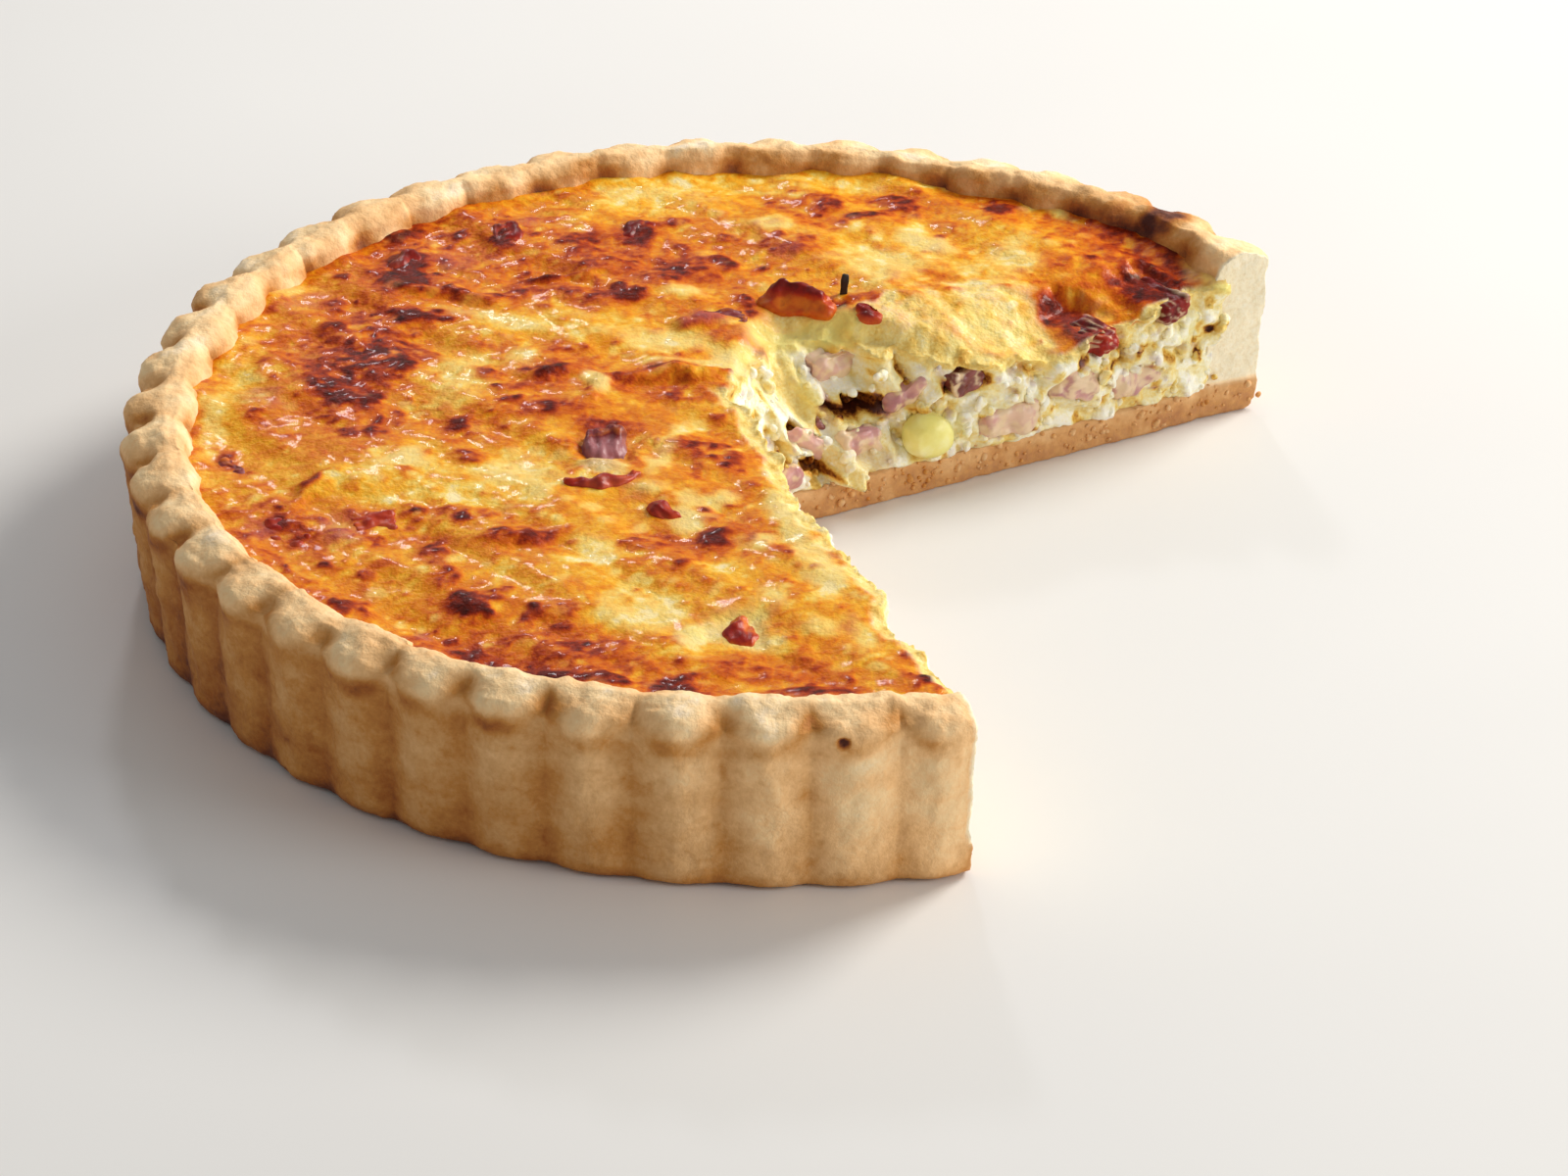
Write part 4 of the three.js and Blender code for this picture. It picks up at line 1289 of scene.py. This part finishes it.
@dataclass
class CustardFilling:
    """The set custard with its browned top and its two curdy cut faces, and curds that have come loose."""

    tin: Tin
    sector: Sector
    top: BrownedTop
    curds: CurdRelief
    grid_mm: float = 0.62
    face_mm: float = 0.44
    floor_mm: float = 6.15
    overlap_mm: float = 1.0  # how far it reaches into the wall of the case
    slab_mm: float = 40.0
    knife_heights: tuple = (3.0, 40.0)  # the cut runs from the one to the other
    coarseness: float = 0.8  # the share of the curds' relief that the faces get
    loose: int = 560
    loose_span: tuple = (2, 103, 98)
    loose_heights: tuple = (7, 27)

    def face(self, s: Array, z: Array) -> Array:
        """How far the torn and curdy faces stand out."""
        return self.sector.face(s, z, self.tin.fill) + self.coarseness * self.curds.at("stand", s, z)

    def _slab(self) -> bpy.types.Object:
        """A slab as large as the round, with the relief of the top."""
        half = self.tin.inner_radius + 5
        bm = bmesh.new()
        count = round(2 * half / self.grid_mm)
        bmesh.ops.create_grid(bm, x_segments=count, y_segments=count, size=half)
        rim = [e for e in bm.edges if e.is_boundary]
        skirt = bmesh.ops.extrude_edge_only(bm, edges=rim)
        lower = [v for v in skirt["geom"] if isinstance(v, bmesh.types.BMVert)]
        bmesh.ops.translate(bm, verts=lower, vec=(0, 0, -self.slab_mm))
        bmesh.ops.contextual_create(bm, geom=[e for e in bm.edges if e.is_boundary])
        slab = to_object(bm, "baked_custard")
        points = read_points(slab.data)
        upper = points[:, 2] > -1
        points[upper, 2] = self.top.at("height", points[upper, 0], points[upper, 1])
        write_points(slab.data, points)
        return slab

    def _mould(self) -> bpy.types.Object:
        """The room inside the case."""
        reach = self.tin.inner_radius + self.overlap_mm
        section = (
            (0.0, self.floor_mm),
            (reach - self.tin.wall_taper - 2.5, self.floor_mm),
            (reach - self.tin.wall_taper, self.floor_mm + 2),
            (reach + 0.8, self.tin.fill),
            (reach + 2.0, self.tin.fill + 14),
            (0.0, self.tin.fill + 14),
        )
        bm = bmesh.new()
        drawn = draw_section(bm, section)
        bmesh.ops.spin(bm, geom=drawn, axis=(0, 0, 1), angle=2 * math.pi, steps=240, use_merge=True)
        bmesh.ops.remove_doubles(bm, verts=bm.verts[:], dist=1e-3)
        return to_object(bm, "mould")

    def _paint(self, mesh: bpy.types.Mesh) -> None:
        """Stores the browning, and how deep inside the custard each point lies."""
        points = read_points(mesh)
        x, y, z = points.T
        top = {name: self.top.at(name, x, y) for name in self.top.raster.fields}
        depth = top["height"] - z
        skin = 0.9 + 0.6 * noise(points * (1, 1, 0.3), 5, 31) + 1.0 * np.maximum(0, noise(points, 9, 32))
        within = smooth(np.abs(depth) - skin, -0.35, 0.5)
        s, _ = self.sector.locate(points)
        face = {name: self.curds.at(name, s, z) for name in self.curds.raster.fields}
        crumbled = (0.34 + 0.45 * top["crumbly"] - face["curd"]) * top["bare"] * (1 - within)
        share = smooth(depth, 0.0, 2.5)
        paint(
            mesh,
            brown=top["brown"],
            pale=top["pale"],
            pink=top["pink"] * (1 - share) + face["pink"] * share,
            cheesy=top["cheesy"] * (1 - share) + face["cheesy"] * share,
            inside=np.maximum(within, top["bare"]),
            curd=np.clip(face["curd"] + crumbled, self.curds.darkest_shade_tone, 1),
        )

    def build(self, material: bpy.types.Material) -> None:
        """Makes the filling, and the loose curds on its faces."""
        piece = self._slab()
        combine(piece, self._mould(), "INTERSECT")
        knife = self.sector.tool("knife", self.face_mm, *self.knife_heights, self.face)
        combine(piece, knife, "DIFFERENCE")
        self._paint(piece.data)
        deliver(piece, material, "custard", "custard")
        self._loose_curds(material)

    def _loose_curds(self, material: bpy.types.Material) -> None:
        """Small lumps that cling to the cut faces."""
        rng = np.random.default_rng(11)
        count = self.loose
        s = self.sector.strew(rng, count, 0.55, self.loose_span)
        z = rng.uniform(*self.loose_heights, count)
        radius = 0.4 + 1.1 * rng.random(count) ** 2.4
        plan = self.sector.place(s, self.face(s, z) + radius * rng.uniform(-0.6, 0.15, count))
        calm = np.max([spot.cover(s, z, 0.9, 1.1) for spot in FACE_CALMS], axis=0)
        keep = (self.top.at("height", *plan.T) - z > radius + 0.8) & (calm < 0.5)
        piece = scatter("loose_curds", 3, np.column_stack([plan, z])[keep], radius[keep], rng)
        mesh = piece.data
        points = read_points(mesh)
        points = roughen(mesh, points, 0.45 * noise(points, 1.5, 35) + 0.15 * noise(points, 0.7, 37))
        zero = np.zeros(len(points))
        s, _ = self.sector.locate(points)
        tints = {name: self.curds.at(name, s, points[:, 2]) for name in ("pink", "cheesy")}
        # the face's tones with their painted shading, a little paler
        curd = self.curds.at("curd", s, points[:, 2]) + 0.12 + 0.15 * noise(points, 3, 36)
        paint(mesh, brown=zero + 0.3, pale=zero, inside=zero + 1, curd=np.clip(curd, 0, 1), **tints)
        deliver(piece, material, "custard")


# ---------------------------------------------------------------- the pastry case
@dataclass(frozen=True)
class Pore:
    """A burst bubble in the pastry: bearing in degrees, height and radius in mm."""

    bearing: float
    z: float
    radius: float


PORES = (Pore(-83.8, 28.8, 1.0), Pore(-93.5, 25.2, 0.45), Pore(-101.0, 18.0, 0.4))


@dataclass
class PastryCase:
    """The fluted shortcrust case: flat base, fluted wall and a lip of rounded lobes."""

    tin: Tin
    sector: Sector
    steps_per_flute: int = 24
    ring_radius: float = 88.0  # inside it the base is one flat face
    cut_mm: float = 0.5
    knife_heights: tuple = (-4.0, 38.0)
    bead: float = 26.2  # the height where the wall swells into the lip
    lobe_drop: float = 1.1  # how far the lip sinks between two lobes
    mealy: float = 0.42  # the unevenness of the baked dough
    burst: float = 1.3  # the depth of a pore
    plain_toast: float = 0.24
    burnt: tuple = (74.2, 77.0)  # the middle of the burnt spot on the lip
    crumbs: int = 380
    crumb_span: tuple = (3, 112, 108)
    crumb_heights: tuple = (0.8, 6.6)

    def _profile(self) -> list[tuple[float, float]]:
        """The section of the case without flutes, from under the base round the lip to the inside."""
        tin = self.tin
        base, wall, lip = tin.base_radius, tin.wall_radius, tin.lip_radius
        inside, floor = tin.inner_radius, tin.inner_radius - tin.wall_taper
        stations = (
            # radius, height and the spacing of the points on the way there
            (self.ring_radius, 0.0, 0.0),
            (base - 2, 0.0, 5.0),
            (base - 0.5, 0.6, 0.8),
            (base, 2.0, 0.8),
            (wall, 24.0, 0.9),
            (lip, 29.0, 0.45),
            (lip - 0.3, 30.0, 0.45),
            (lip - 1.1, 31.0, 0.45),
            (lip - 2.5, tin.height - 1.0, 0.45),
            (lip - 4.3, tin.height - 0.5, 0.5),
            (lip - 6.8, tin.height, 0.5),
            (lip - 9.1, tin.height - 0.3, 0.5),
            (lip - 10.7, tin.height - 1.7, 0.5),
            (inside, 27.6, 0.5),
            (floor, 8.0, 3.0),
            (floor - 3, 6.0, 2.0),
            (self.ring_radius, 6.0, 5.0),
        )
        path = [stations[0][:2]]
        for (r, z, _), (next_r, next_z, spacing) in itertools.pairwise(stations):
            count = max(1, round(math.hypot(next_r - r, next_z - z) / spacing))
            steps = range(1, count + 1)
            path += [(r + (next_r - r) * i / count, z + (next_z - z) * i / count) for i in steps]
        return path

    def _lathe(self) -> bpy.types.Object:
        """The plain case: one flute's width is spun and repeated round, and the base is closed."""
        tin = self.tin
        width = 2 * math.pi / tin.flutes
        bm = bmesh.new()
        drawn = draw_section(bm, self._profile())
        bmesh.ops.rotate(bm, verts=bm.verts[:], matrix=Matrix.Rotation(tin.first_notch, 3, "Z"))
        bmesh.ops.spin(bm, geom=drawn, axis=(0, 0, 1), angle=width, steps=self.steps_per_flute)
        copies = 1
        while copies < tin.flutes:
            times = 3 if copies == 16 else 2
            stock = bm.faces[:]
            for i in range(1, times):
                more = bmesh.ops.duplicate(bm, geom=stock)
                moved = [v for v in more["geom"] if isinstance(v, bmesh.types.BMVert)]
                bmesh.ops.rotate(bm, verts=moved, matrix=Matrix.Rotation(i * copies * width, 3, "Z"))
            copies *= times
        bmesh.ops.remove_doubles(bm, verts=bm.verts[:], dist=1e-3)
        loops = {}
        for edge in bm.edges:
            if edge.is_boundary:
                loops.setdefault(edge.verts[0].co.z > 3, []).append(edge)
        for ring in loops.values():
            bmesh.ops.contextual_create(bm, geom=ring)
        return to_object(bm, "pastry_crust")

    def _shape(self, mesh: bpy.types.Mesh) -> None:
        """Presses in the flutes, folds the lobes of the lip over them and makes it all uneven."""
        tin = self.tin
        points = read_points(mesh)
        x, y, z = points.T
        r, bearing = np.hypot(x, y), np.arctan2(y, x)
        angle = bearing + 0.004 * wobble(bearing * 3, 0.7)
        across, lobe = tin.flute(angle)
        crown = 0.5 * (1 - across**2) + 0.25 * (1 + np.cos(math.pi * across))
        front_left = self._towards(bearing, -150, 26)
        back_left = self._towards(bearing, 128, 62)
        outside = smooth(r, 103.5, 110)
        outer_lip = np.maximum(smooth(r, 106.5, 111.5), 0.6 * front_left * smooth(r, 101.5, 105))
        edge = self.bead + 1.2 * chance(lobe, 5) + 4.0 * np.abs(across) ** 2.2 + 0.5 * noise(points, 5, 51)
        bead = smooth(z - edge, -2.2, 2.4) * smooth(r, 107.5, 111.5)
        groove = tin.base_flute + (tin.wall_flute - tin.base_flute) * smooth(z, 2, 26)
        notch = tin.lip_notch * (1 + 0.25 * chance(lobe, 6))
        pillow = smooth(-r, -106.5, -103) * smooth(z, 22, 27)
        grown = -groove * (1 - crown) * outside * (1 - bead) * (1 - smooth(z, 30.5, 32))
        grown += bead * tin.lip_bulge * (0.85 + 0.35 * chance(lobe, 6)) * np.sqrt(crown)
        grown -= np.maximum(bead, smooth(z, 29, 31.5)) * notch * (1 - crown) ** 1.3 * outer_lip
        grown += 0.35 * wobble(angle, 1.9) * smooth(z, 0, 3)
        grown += 0.3 * chance(lobe, 7) * crown * outside * smooth(z, 20, 32)
        pressed = (0.7 + 0.7 * back_left) * crown - 0.7
        grown -= pillow * (pressed + 0.5 * chance(lobe, 8) + 0.7 * wobble(angle, 5.3))
        dropped = (self.lobe_drop + 0.9 * front_left) * (1 - crown) ** 1.3 * smooth(z, 29, 31.5) * outer_lip
        rise = 0.55 * wobble(angle, 0.6) + 0.4 * chance(lobe, 2) * crown + 0.5 * noise(points, 9, 57)
        r = r + grown
        z = z + smooth(z, 24, 32) * rise - dropped
        moved = np.column_stack([r * np.cos(bearing), r * np.sin(bearing), z])
        write_points(mesh, moved)
        above = smooth(moved[:, 2], 0.0, 1.2)
        mealy = self.mealy * layered(moved, 4.6, 3, 52)
        mealy += 0.16 * noise(moved, 1.7, 53) + 0.08 * noise(moved, 0.9, 54)
        mealy += 0.45 * noise(moved, 12, 64) * smooth(moved[:, 2], 18, 28)
        mealy += 0.05 * noise(moved * (0.3, 0.3, 1), 1.4, 58) * outside
        moved = moved + read_normals(mesh) * (mealy * above)[:, None]
        hollow = np.zeros(len(moved))
        for pore in PORES:
            turn = math.radians(pore.bearing)
            centre = np.array([114 * math.cos(turn), 114 * math.sin(turn), pore.z])
            away = np.linalg.norm(moved - centre, axis=1)
            hollow += 1 - smooth(away, 0.5 * pore.radius, 1.3 * pore.radius + 0.5)
        moved[:, :2] *= 1 - (self.burst * hollow / 115)[:, None]
        moved[:, 2] = np.maximum(moved[:, 2], 0.0)
        write_points(mesh, moved)

        on_wall = (1 - smooth(z, 25.5, 29)) * outside
        on_lip = smooth(z, 27, 30)
        toast = self.plain_toast - 0.06 * on_lip + (0.08 + 0.06 * on_lip) * layered(moved, 7, 3, 55)
        toast += 0.05 * noise(moved * (0.25, 0.25, 1), 2.2, 59)
        # browner low on the wall, and darker in the grooves as painted shade
        toast += on_wall * (0.16 + 0.08 * (1 - smooth(z, 4, 18)) + 0.16 * (1 - crown) ** 1.5)
        toast += 0.08 * smooth(noise(moved, 2.2, 65), 0.35, 0.75) * on_wall
        toast += on_wall * (0.16 * self._towards(bearing, -160, 38) - 0.22 * self._towards(bearing, -76, 24))
        # painted shade in a band just under the lower edge of each lobe
        toast += 0.26 * bell(z - edge, 0.6, 2.4) * outside * (0.8 + 0.8 * noise(moved, 6, 60))
        # painted shade in the notches between the lobes; the foot of the wall is browned
        toast += 0.22 * (1 - crown) ** 2 * on_lip * outer_lip + 0.18 * bell(z, 0, 2.6) * outside
        toast += pillow * (0.06 + 0.18 * self._towards(bearing, 85, 50)) * (0.8 + 1.6 * noise(moved, 7, 56))
        # painted shade in the creases between the pillows of the inner wall
        toast += 0.34 * pillow * (1 - crown) * (1 - smooth(z, 29, 32)) * (0.4 + back_left)
        toast += 0.26 * self._towards(bearing, 50, 7) * smooth(z, 26, 30)
        toast -= 0.10 * self._towards(bearing, 32, 8)
        toast += 0.16 * self._towards(bearing, 62, 26) * (1 - smooth(r, 102.5, 105)) * bell(z, 27, 4)
        burnt_x, burnt_y = self.burnt
        off = np.hypot(moved[:, 0] - burnt_x, moved[:, 1] - burnt_y) + 1.6 * noise(moved, 3, 69)
        # the burnt spot on the lip, and painted shade in the pores
        toast += 0.66 * (1 - smooth(off, 1.5, 6.5)) * smooth(z, 24, 28) + 1.2 * hollow
        paint(mesh, toast=np.clip(toast, 0, 1))

    @staticmethod
    def _towards(bearing: Array, middle: float, width: float) -> Array:
        """A bell round the quiche: 1 at the middle bearing, with the middle and the width in degrees."""
        off = (np.degrees(bearing) - middle + 180) % 360 - 180
        return bell(off, 0, width)

    def _stand(self, s: Array, z: Array) -> Array:
        """How far the broken pastry stands out of the straight cuts."""
        flat = np.column_stack([s, z, np.zeros(len(s))])
        mealy = 0.35 * layered(flat, 4.5, 3, 61) + 0.3 * np.abs(noise(flat, 1.1, 62))
        near_base = smooth(-z, -7, -5)
        return 0.5 * relief(np.abs(s), 0 * s, 40, 2.3) * smooth(np.abs(s), 4, 20) + mealy + 0.5 * near_base

    def build(self, material: bpy.types.Material) -> None:
        """Makes the case and the crumbs along its cut edges."""
        piece = self._lathe()
        self._shape(piece.data)
        knife = self.sector.tool("bread_knife", self.cut_mm, *self.knife_heights, self._stand)
        combine(piece, knife, "DIFFERENCE")
        mesh = piece.data
        points = read_points(mesh)
        s, stand = self.sector.locate(points)
        rough = np.abs(stand - self._stand(s, points[:, 2]))
        cut = 1 - smooth(rough, 0.15, 0.7)
        z = points[:, 2]
        crumb = cut * (0.1 + 0.9 * smooth(z, 5.5, 8))
        golden = 0.60 - 0.12 * smooth(z, 1.5, 6) + 0.10 * layered(points, 2.6, 2, 66)
        toast = read_paint(mesh, "toast")
        toast += (golden - toast) * cut * (1 - smooth(z, 6, 7))
        paint(mesh, toast=toast, crumb=crumb)
        deliver(piece, material, "shortcrust", "pastry_case")
        self._crumbs(material)

    def _crumbs(self, material: bpy.types.Material) -> None:
        """Crumbs that cling to the cut base and to the wall's ends."""
        rng = np.random.default_rng(23)
        count = self.crumbs
        s = self.sector.strew(rng, count, 0.5, self.crumb_span)
        z = rng.uniform(*self.crumb_heights, count)
        size = 0.25 + 0.6 * rng.random(count) ** 3
        plan = self.sector.place(s, self._stand(s, z) + 0.15 * size)
        places = np.column_stack([plan, np.maximum(z, 1.3 * size)])
        piece = scatter("pastry_crumbs", 2, places, size, rng)
        points = read_points(piece.data)
        roughen(piece.data, points, 0.25 * noise(points, 0.8, 67))
        toast = 0.50 + 0.14 * noise(points, 2.5, 68)
        paint(piece.data, toast=toast, crumb=np.clip(0.1 + 0.3 * noise(points, 6, 63), 0, 1))
        deliver(piece, material, "shortcrust")


# ---------------------------------------------------------------- ham and cheese
# how far the oven has browned each piece of the top, at its foot and at its crest
TOP_ROAST = (
    (0.40, 0.76),
    (0.42, 0.70),
    (0.02, 0.19),
    (0.52, 0.66),
    (0.54, 0.66),
    (0.48, 0.56),
    (0.50, 0.62),
    (0.12, 0.30),
    (0.62, 0.78),
    (0.60, 0.76),
    (0.60, 0.80),
    (0.44, 0.68),
    (0.10, 0.20),
    (0.72, 0.88),
    (0.66, 0.84),
)

# how dark each piece of the far cut is, and how much fat and custard lie over it
FAR_CUT_ROAST = (
    (0.04, 0.55),
    (0.20, 0.50),
    (0.82, 0.10),
    (0.50, 0.45),
    (0.92, 0.20),
    (0.45, 0.50),
    (0.45, 0.65),
    (0.30, 0.80),
    (0.50, 0.85),
    (0.40, 0.80),
)

# how far the tall pieces of the top narrow towards their crests
TAPERS = {"ham_top_01": 0.42, "ham_top_02": 0.3, "ham_top_03": 0.1}

# pieces of the top with pale streaks of the fat colour painted on as highlights
HIGHLIGHT_STREAKED = ("ham_top_14", "ham_top_15")


@dataclass
class HamDice:
    """The diced ham, each piece roughened and torn from its plain block."""

    top: BrownedTop
    ragged_mm: float = 0.7
    swell: float = 0.12  # how much a piece grows, as a share of how far it stands out

    def _refined(self, node: str) -> bpy.types.Object:
        """A copy of a node's block with a fine mesh, in mm round the quiche's axis."""
        bm = bmesh.new()
        bm.from_mesh(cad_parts[node].data)
        bmesh.ops.remove_doubles(bm, verts=bm.verts[:], dist=1e-6)
        bmesh.ops.scale(bm, verts=bm.verts[:], vec=(1 / MM,) * 3)
        bmesh.ops.translate(bm, verts=bm.verts[:], vec=(-AXIS_X, 0, 0))
        bmesh.ops.subdivide_edges(bm, edges=bm.edges[:], cuts=1, use_grid_fill=True)
        piece = to_object(bm, f"{node}_dice")
        rounding = piece.modifiers.new("rounding", "SUBSURF")
        rounding.levels = rounding.render_levels = 2
        settle(piece)
        return piece

    def _tear(self, mesh: bpy.types.Mesh, seed: int, swell: float) -> tuple[Array, Array]:
        """Makes a block ragged.

        Args:
            mesh: the block.
            seed: another number gives another tear.
            swell: how far all of it grows, in mm.

        Returns:
            Its points, and their places along its three axes from -1 to 1.
        """
        points = read_points(mesh)
        centre = points.mean(axis=0)
        _, _, axes = np.linalg.svd(points - centre, full_matrices=False)
        local = (points - centre) @ axes.T
        local /= np.abs(local).max(axis=0)
        along = points @ axes[0]
        fibres = np.column_stack([0.25 * along, points @ axes[1], points @ axes[2]])
        grain = 0.25 * noise(fibres, 1.1, seed) + 0.95 * layered(points, 4.4, 2, seed + 1)
        return roughen(mesh, points, self.ragged_mm * grain * 1.6 + swell), local

    def _taper(self, mesh: bpy.types.Mesh, share: float) -> None:
        """Narrows a block towards its crest."""
        points = read_points(mesh)
        low, high = points[:, 2].min(), points[:, 2].max()
        middle = points.mean(axis=0)
        narrow = 1 - share * smooth(points[:, 2], low + 0.3 * (high - low), high)
        points[:, :2] = middle[:2] + (points[:, :2] - middle[:2]) * narrow[:, None]
        write_points(mesh, points)

    def build(self, browned: bpy.types.Material, moist: bpy.types.Material) -> None:
        """Makes every piece of ham."""
        for i, node in enumerate(nodes_with("ham_")):
            piece = self._refined(node)
            self._taper(piece.data, TAPERS.get(node, 0.0))
            on_top = node.startswith("ham_top")
            points, local = self._tear(piece.data, 70 + i, self.swell * STANDING.get(node, 0.0))
            band = local[:, 1] + 0.35 * noise(points, 4, 90 + i) + 0.5 * chance(i, 3)
            fat = smooth(band, 0.55, 0.8) * (0.9 if i % 3 else 0.5)
            if on_top:
                foot, crest = TOP_ROAST[int(node[-2:]) - 1]
                height = points[:, 2] - self.top.level(*points[:, :2].T)
                tallest = float(height.max())
                risen = smooth(height, 0.2 * tallest, 0.75 * tallest)
                roast = foot + (crest - foot) * risen + 0.12 * noise(points, 3.5, 60 + i)
                # pale streaks painted on as highlights on these pieces
                painted_highlights = smooth(noise(local * (1.2, 5.0, 3.0), 1.0, 30 + i), 0.1, 0.5)
                fat = 0.5 * painted_highlights if node in HIGHLIGHT_STREAKED else 0.04 * fat
            else:
                middle, smeared = 0.32 + 0.2 * chance(i, 4), 0.5
                if node.startswith("ham_far"):
                    middle, smeared = FAR_CUT_ROAST[int(node[-2:]) - 1]
                roast = middle + 0.25 * noise(points, 4, 60 + i)
                cover = layered(points, 2.4, 3, 40 + i)
                fat = np.maximum(0.6 * fat, 0.9 * smooth(cover, 0.35 - smeared, 0.9 - smeared))
            paint(piece.data, roast=np.clip(roast, 0, 1), fat=np.clip(fat, 0, 1))
            slot = "baked_ham" if on_top else "moist_ham"
            deliver(piece, browned if on_top else moist, slot, node)

    def build_cheese(self, material: bpy.types.Material) -> None:
        """Makes the lump of pale cheese in the far cut."""
        piece = self._refined("cheese_lump_01")
        points = read_points(piece.data)
        middle = points.mean(axis=0)
        away = points - middle
        size = np.abs(away).max(axis=0)
        round_share = 0.65 * (1.05 / np.linalg.norm(away / size, axis=1) - 1)
        points = points + away * round_share[:, None]
        roughen(piece.data, points, 0.5 * noise(points, 5, 99))
        deliver(piece, material, "cheese", "cheese_lump_01")


@dataclass(frozen=True)
class CharredSliver:
    """One burnt sliver of onion that stands up beside the large piece of ham."""

    x: float = 13.2
    y: float = 49.2
    length: float = 5.6
    width: float = 1.3
    thickness: float = 0.8
    buried: float = 1.6
    lean: float = 5.0  # degrees

    def build(self, top: BrownedTop, material: bpy.types.Material) -> None:
        """Makes the sliver, with its foot in the custard."""
        level = float(top.level(np.array([self.x]), np.array([self.y]))[0])
        bm = bmesh.new()
        size = Matrix.Diagonal((self.width, self.thickness, self.length, 1))
        lean = Matrix.Rotation(math.radians(self.lean), 4, "Y")
        place = Matrix.Translation((self.x, self.y, level + self.length / 2 - self.buried))
        bmesh.ops.create_cube(bm, size=1, matrix=place @ lean @ size)
        bmesh.ops.subdivide_edges(bm, edges=bm.edges[:], cuts=3, use_grid_fill=True)
        axes = {"use_axis_x": True, "use_axis_y": True, "use_axis_z": True}
        bmesh.ops.smooth_vert(bm, verts=bm.verts[:], factor=0.5, **axes)
        piece = to_object(bm, "charred_sliver")
        points = read_points(piece.data)
        roughen(piece.data, points, 0.25 * noise(points, 1.2, 5))
        deliver(piece, material, "baked_ham")


# ---------------------------------------------------------------- the studio
@dataclass(frozen=True)
class Lamp:
    """A soft box that faces the quiche: its place and its size in metres, and its power in watts."""

    name: str
    place: tuple
    size: float
    power: float
    colour: str


LAMPS = (
    Lamp("window_right", (0.95, 0.75, 0.80), 0.6, 21.0, "#fffaf2"),
    Lamp("window_back", (-0.15, 1.20, 0.66), 0.12, 1.6, "#f6f8ff"),
    Lamp("side", (1.2, -0.45, 0.5), 0.6, 6.0, "#ffffff"),
)


@dataclass(frozen=True)
class Studio:
    """A pale floor, soft light and the camera."""

    eye_mm: tuple = (0.0, -907.156, 499.786)
    right: tuple = (0.99991431, 0.00389277, 0.01249838)
    upward: tuple = (-0.01281312, 0.4865738, 0.87354551)
    lens_mm: float = 133.33
    floor: tuple = ((0.3, "#e5e4e2"), (0.7, "#e9e8e6"))
    sky: str = "#f4f4f3"
    sky_strength: float = 0.40
    floor_half: float = 4.0
    floor_gap: float = 0.0002  # keeps the floor clear of the base

    def _floor(self) -> None:
        """A wide pale table top, matt, with a faint unevenness."""
        bm = bmesh.new()
        bmesh.ops.create_grid(bm, x_segments=8, y_segments=8, size=self.floor_half)
        floor = to_object(bm, "floor")
        points = read_points(floor.data)
        write_points(floor.data, points - (0, 0, self.floor_gap))
        material, tree, shader, place = fresh("matt_table")
        cloud = add(tree, "TexNoise", {"Vector": place, "Scale": 6.0, "Detail": 2.0}).outputs[0]
        colour = add(tree, "ValToRGB", {0: cloud}, stops=self.floor).outputs[0]
        feed(tree, shader, {"Base Color": colour, "Roughness": 0.55})
        floor.data.materials.append(material)

    def _lamps(self) -> None:
        """The soft boxes and the pale surroundings."""
        for lamp in LAMPS:
            light = bpy.data.lights.new(lamp.name, "AREA")
            light.shape = "DISK"
            light.size = lamp.size
            light.energy = lamp.power
            light.color = linear(lamp.colour)[:3]
            holder = set_out(lamp.name, light)
            holder.location = lamp.place
            holder.rotation_euler = (-Vector(lamp.place)).to_track_quat("-Z", "Y").to_euler()
        world = bpy.data.worlds.new("surroundings")
        world.use_nodes = True
        back = next(n for n in world.node_tree.nodes if n.type == "BACKGROUND")
        back.inputs["Color"].default_value = linear(self.sky)
        back.inputs["Strength"].default_value = self.sky_strength
        bpy.context.scene.world = world

    def _camera(self) -> None:
        """The camera, a long way off with a long lens."""
        camera = bpy.data.cameras.new("camera")
        camera.lens = self.lens_mm
        camera.sensor_width = 36.0
        holder = set_out("camera", camera)
        right, upward = Vector(self.right), Vector(self.upward)
        turned = Matrix((right, upward, right.cross(upward))).transposed().to_4x4()
        eye = (Vector(self.eye_mm) + Vector((AXIS_X, 0, 0))) * MM
        holder.matrix_world = Matrix.Translation(eye) @ turned
        bpy.context.scene.camera = holder

    def build(self) -> None:
        """Sets the studio up."""
        self._floor()
        self._lamps()
        self._camera()
        bpy.context.scene.view_settings.view_transform = "Standard"


def main() -> None:
    """Builds the quiche piece by piece."""
    logging.basicConfig(level=logging.INFO, format="%(relativeCreated)6d ms %(name)s: %(message)s")
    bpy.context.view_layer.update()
    Studio().build()
    tin, sector = Tin(), Sector()
    top = BrownedTop(tin, sector)
    log.info("browning worked out")
    PastryCase(tin, sector).build(Shortcrust().make())
    curds = CurdRelief(sector, tin.fill)
    CustardFilling(tin, sector, top, curds).build(BakedCustard().make())
    ham = HamDice(top)
    ham.build(BROWNED_HAM.make(), MOIST_HAM.make())
    ham.build_cheese(PaleCheese().make())
    CharredSliver().build(top, CharredBit().make())


if __name__ == "__main__":
    main()
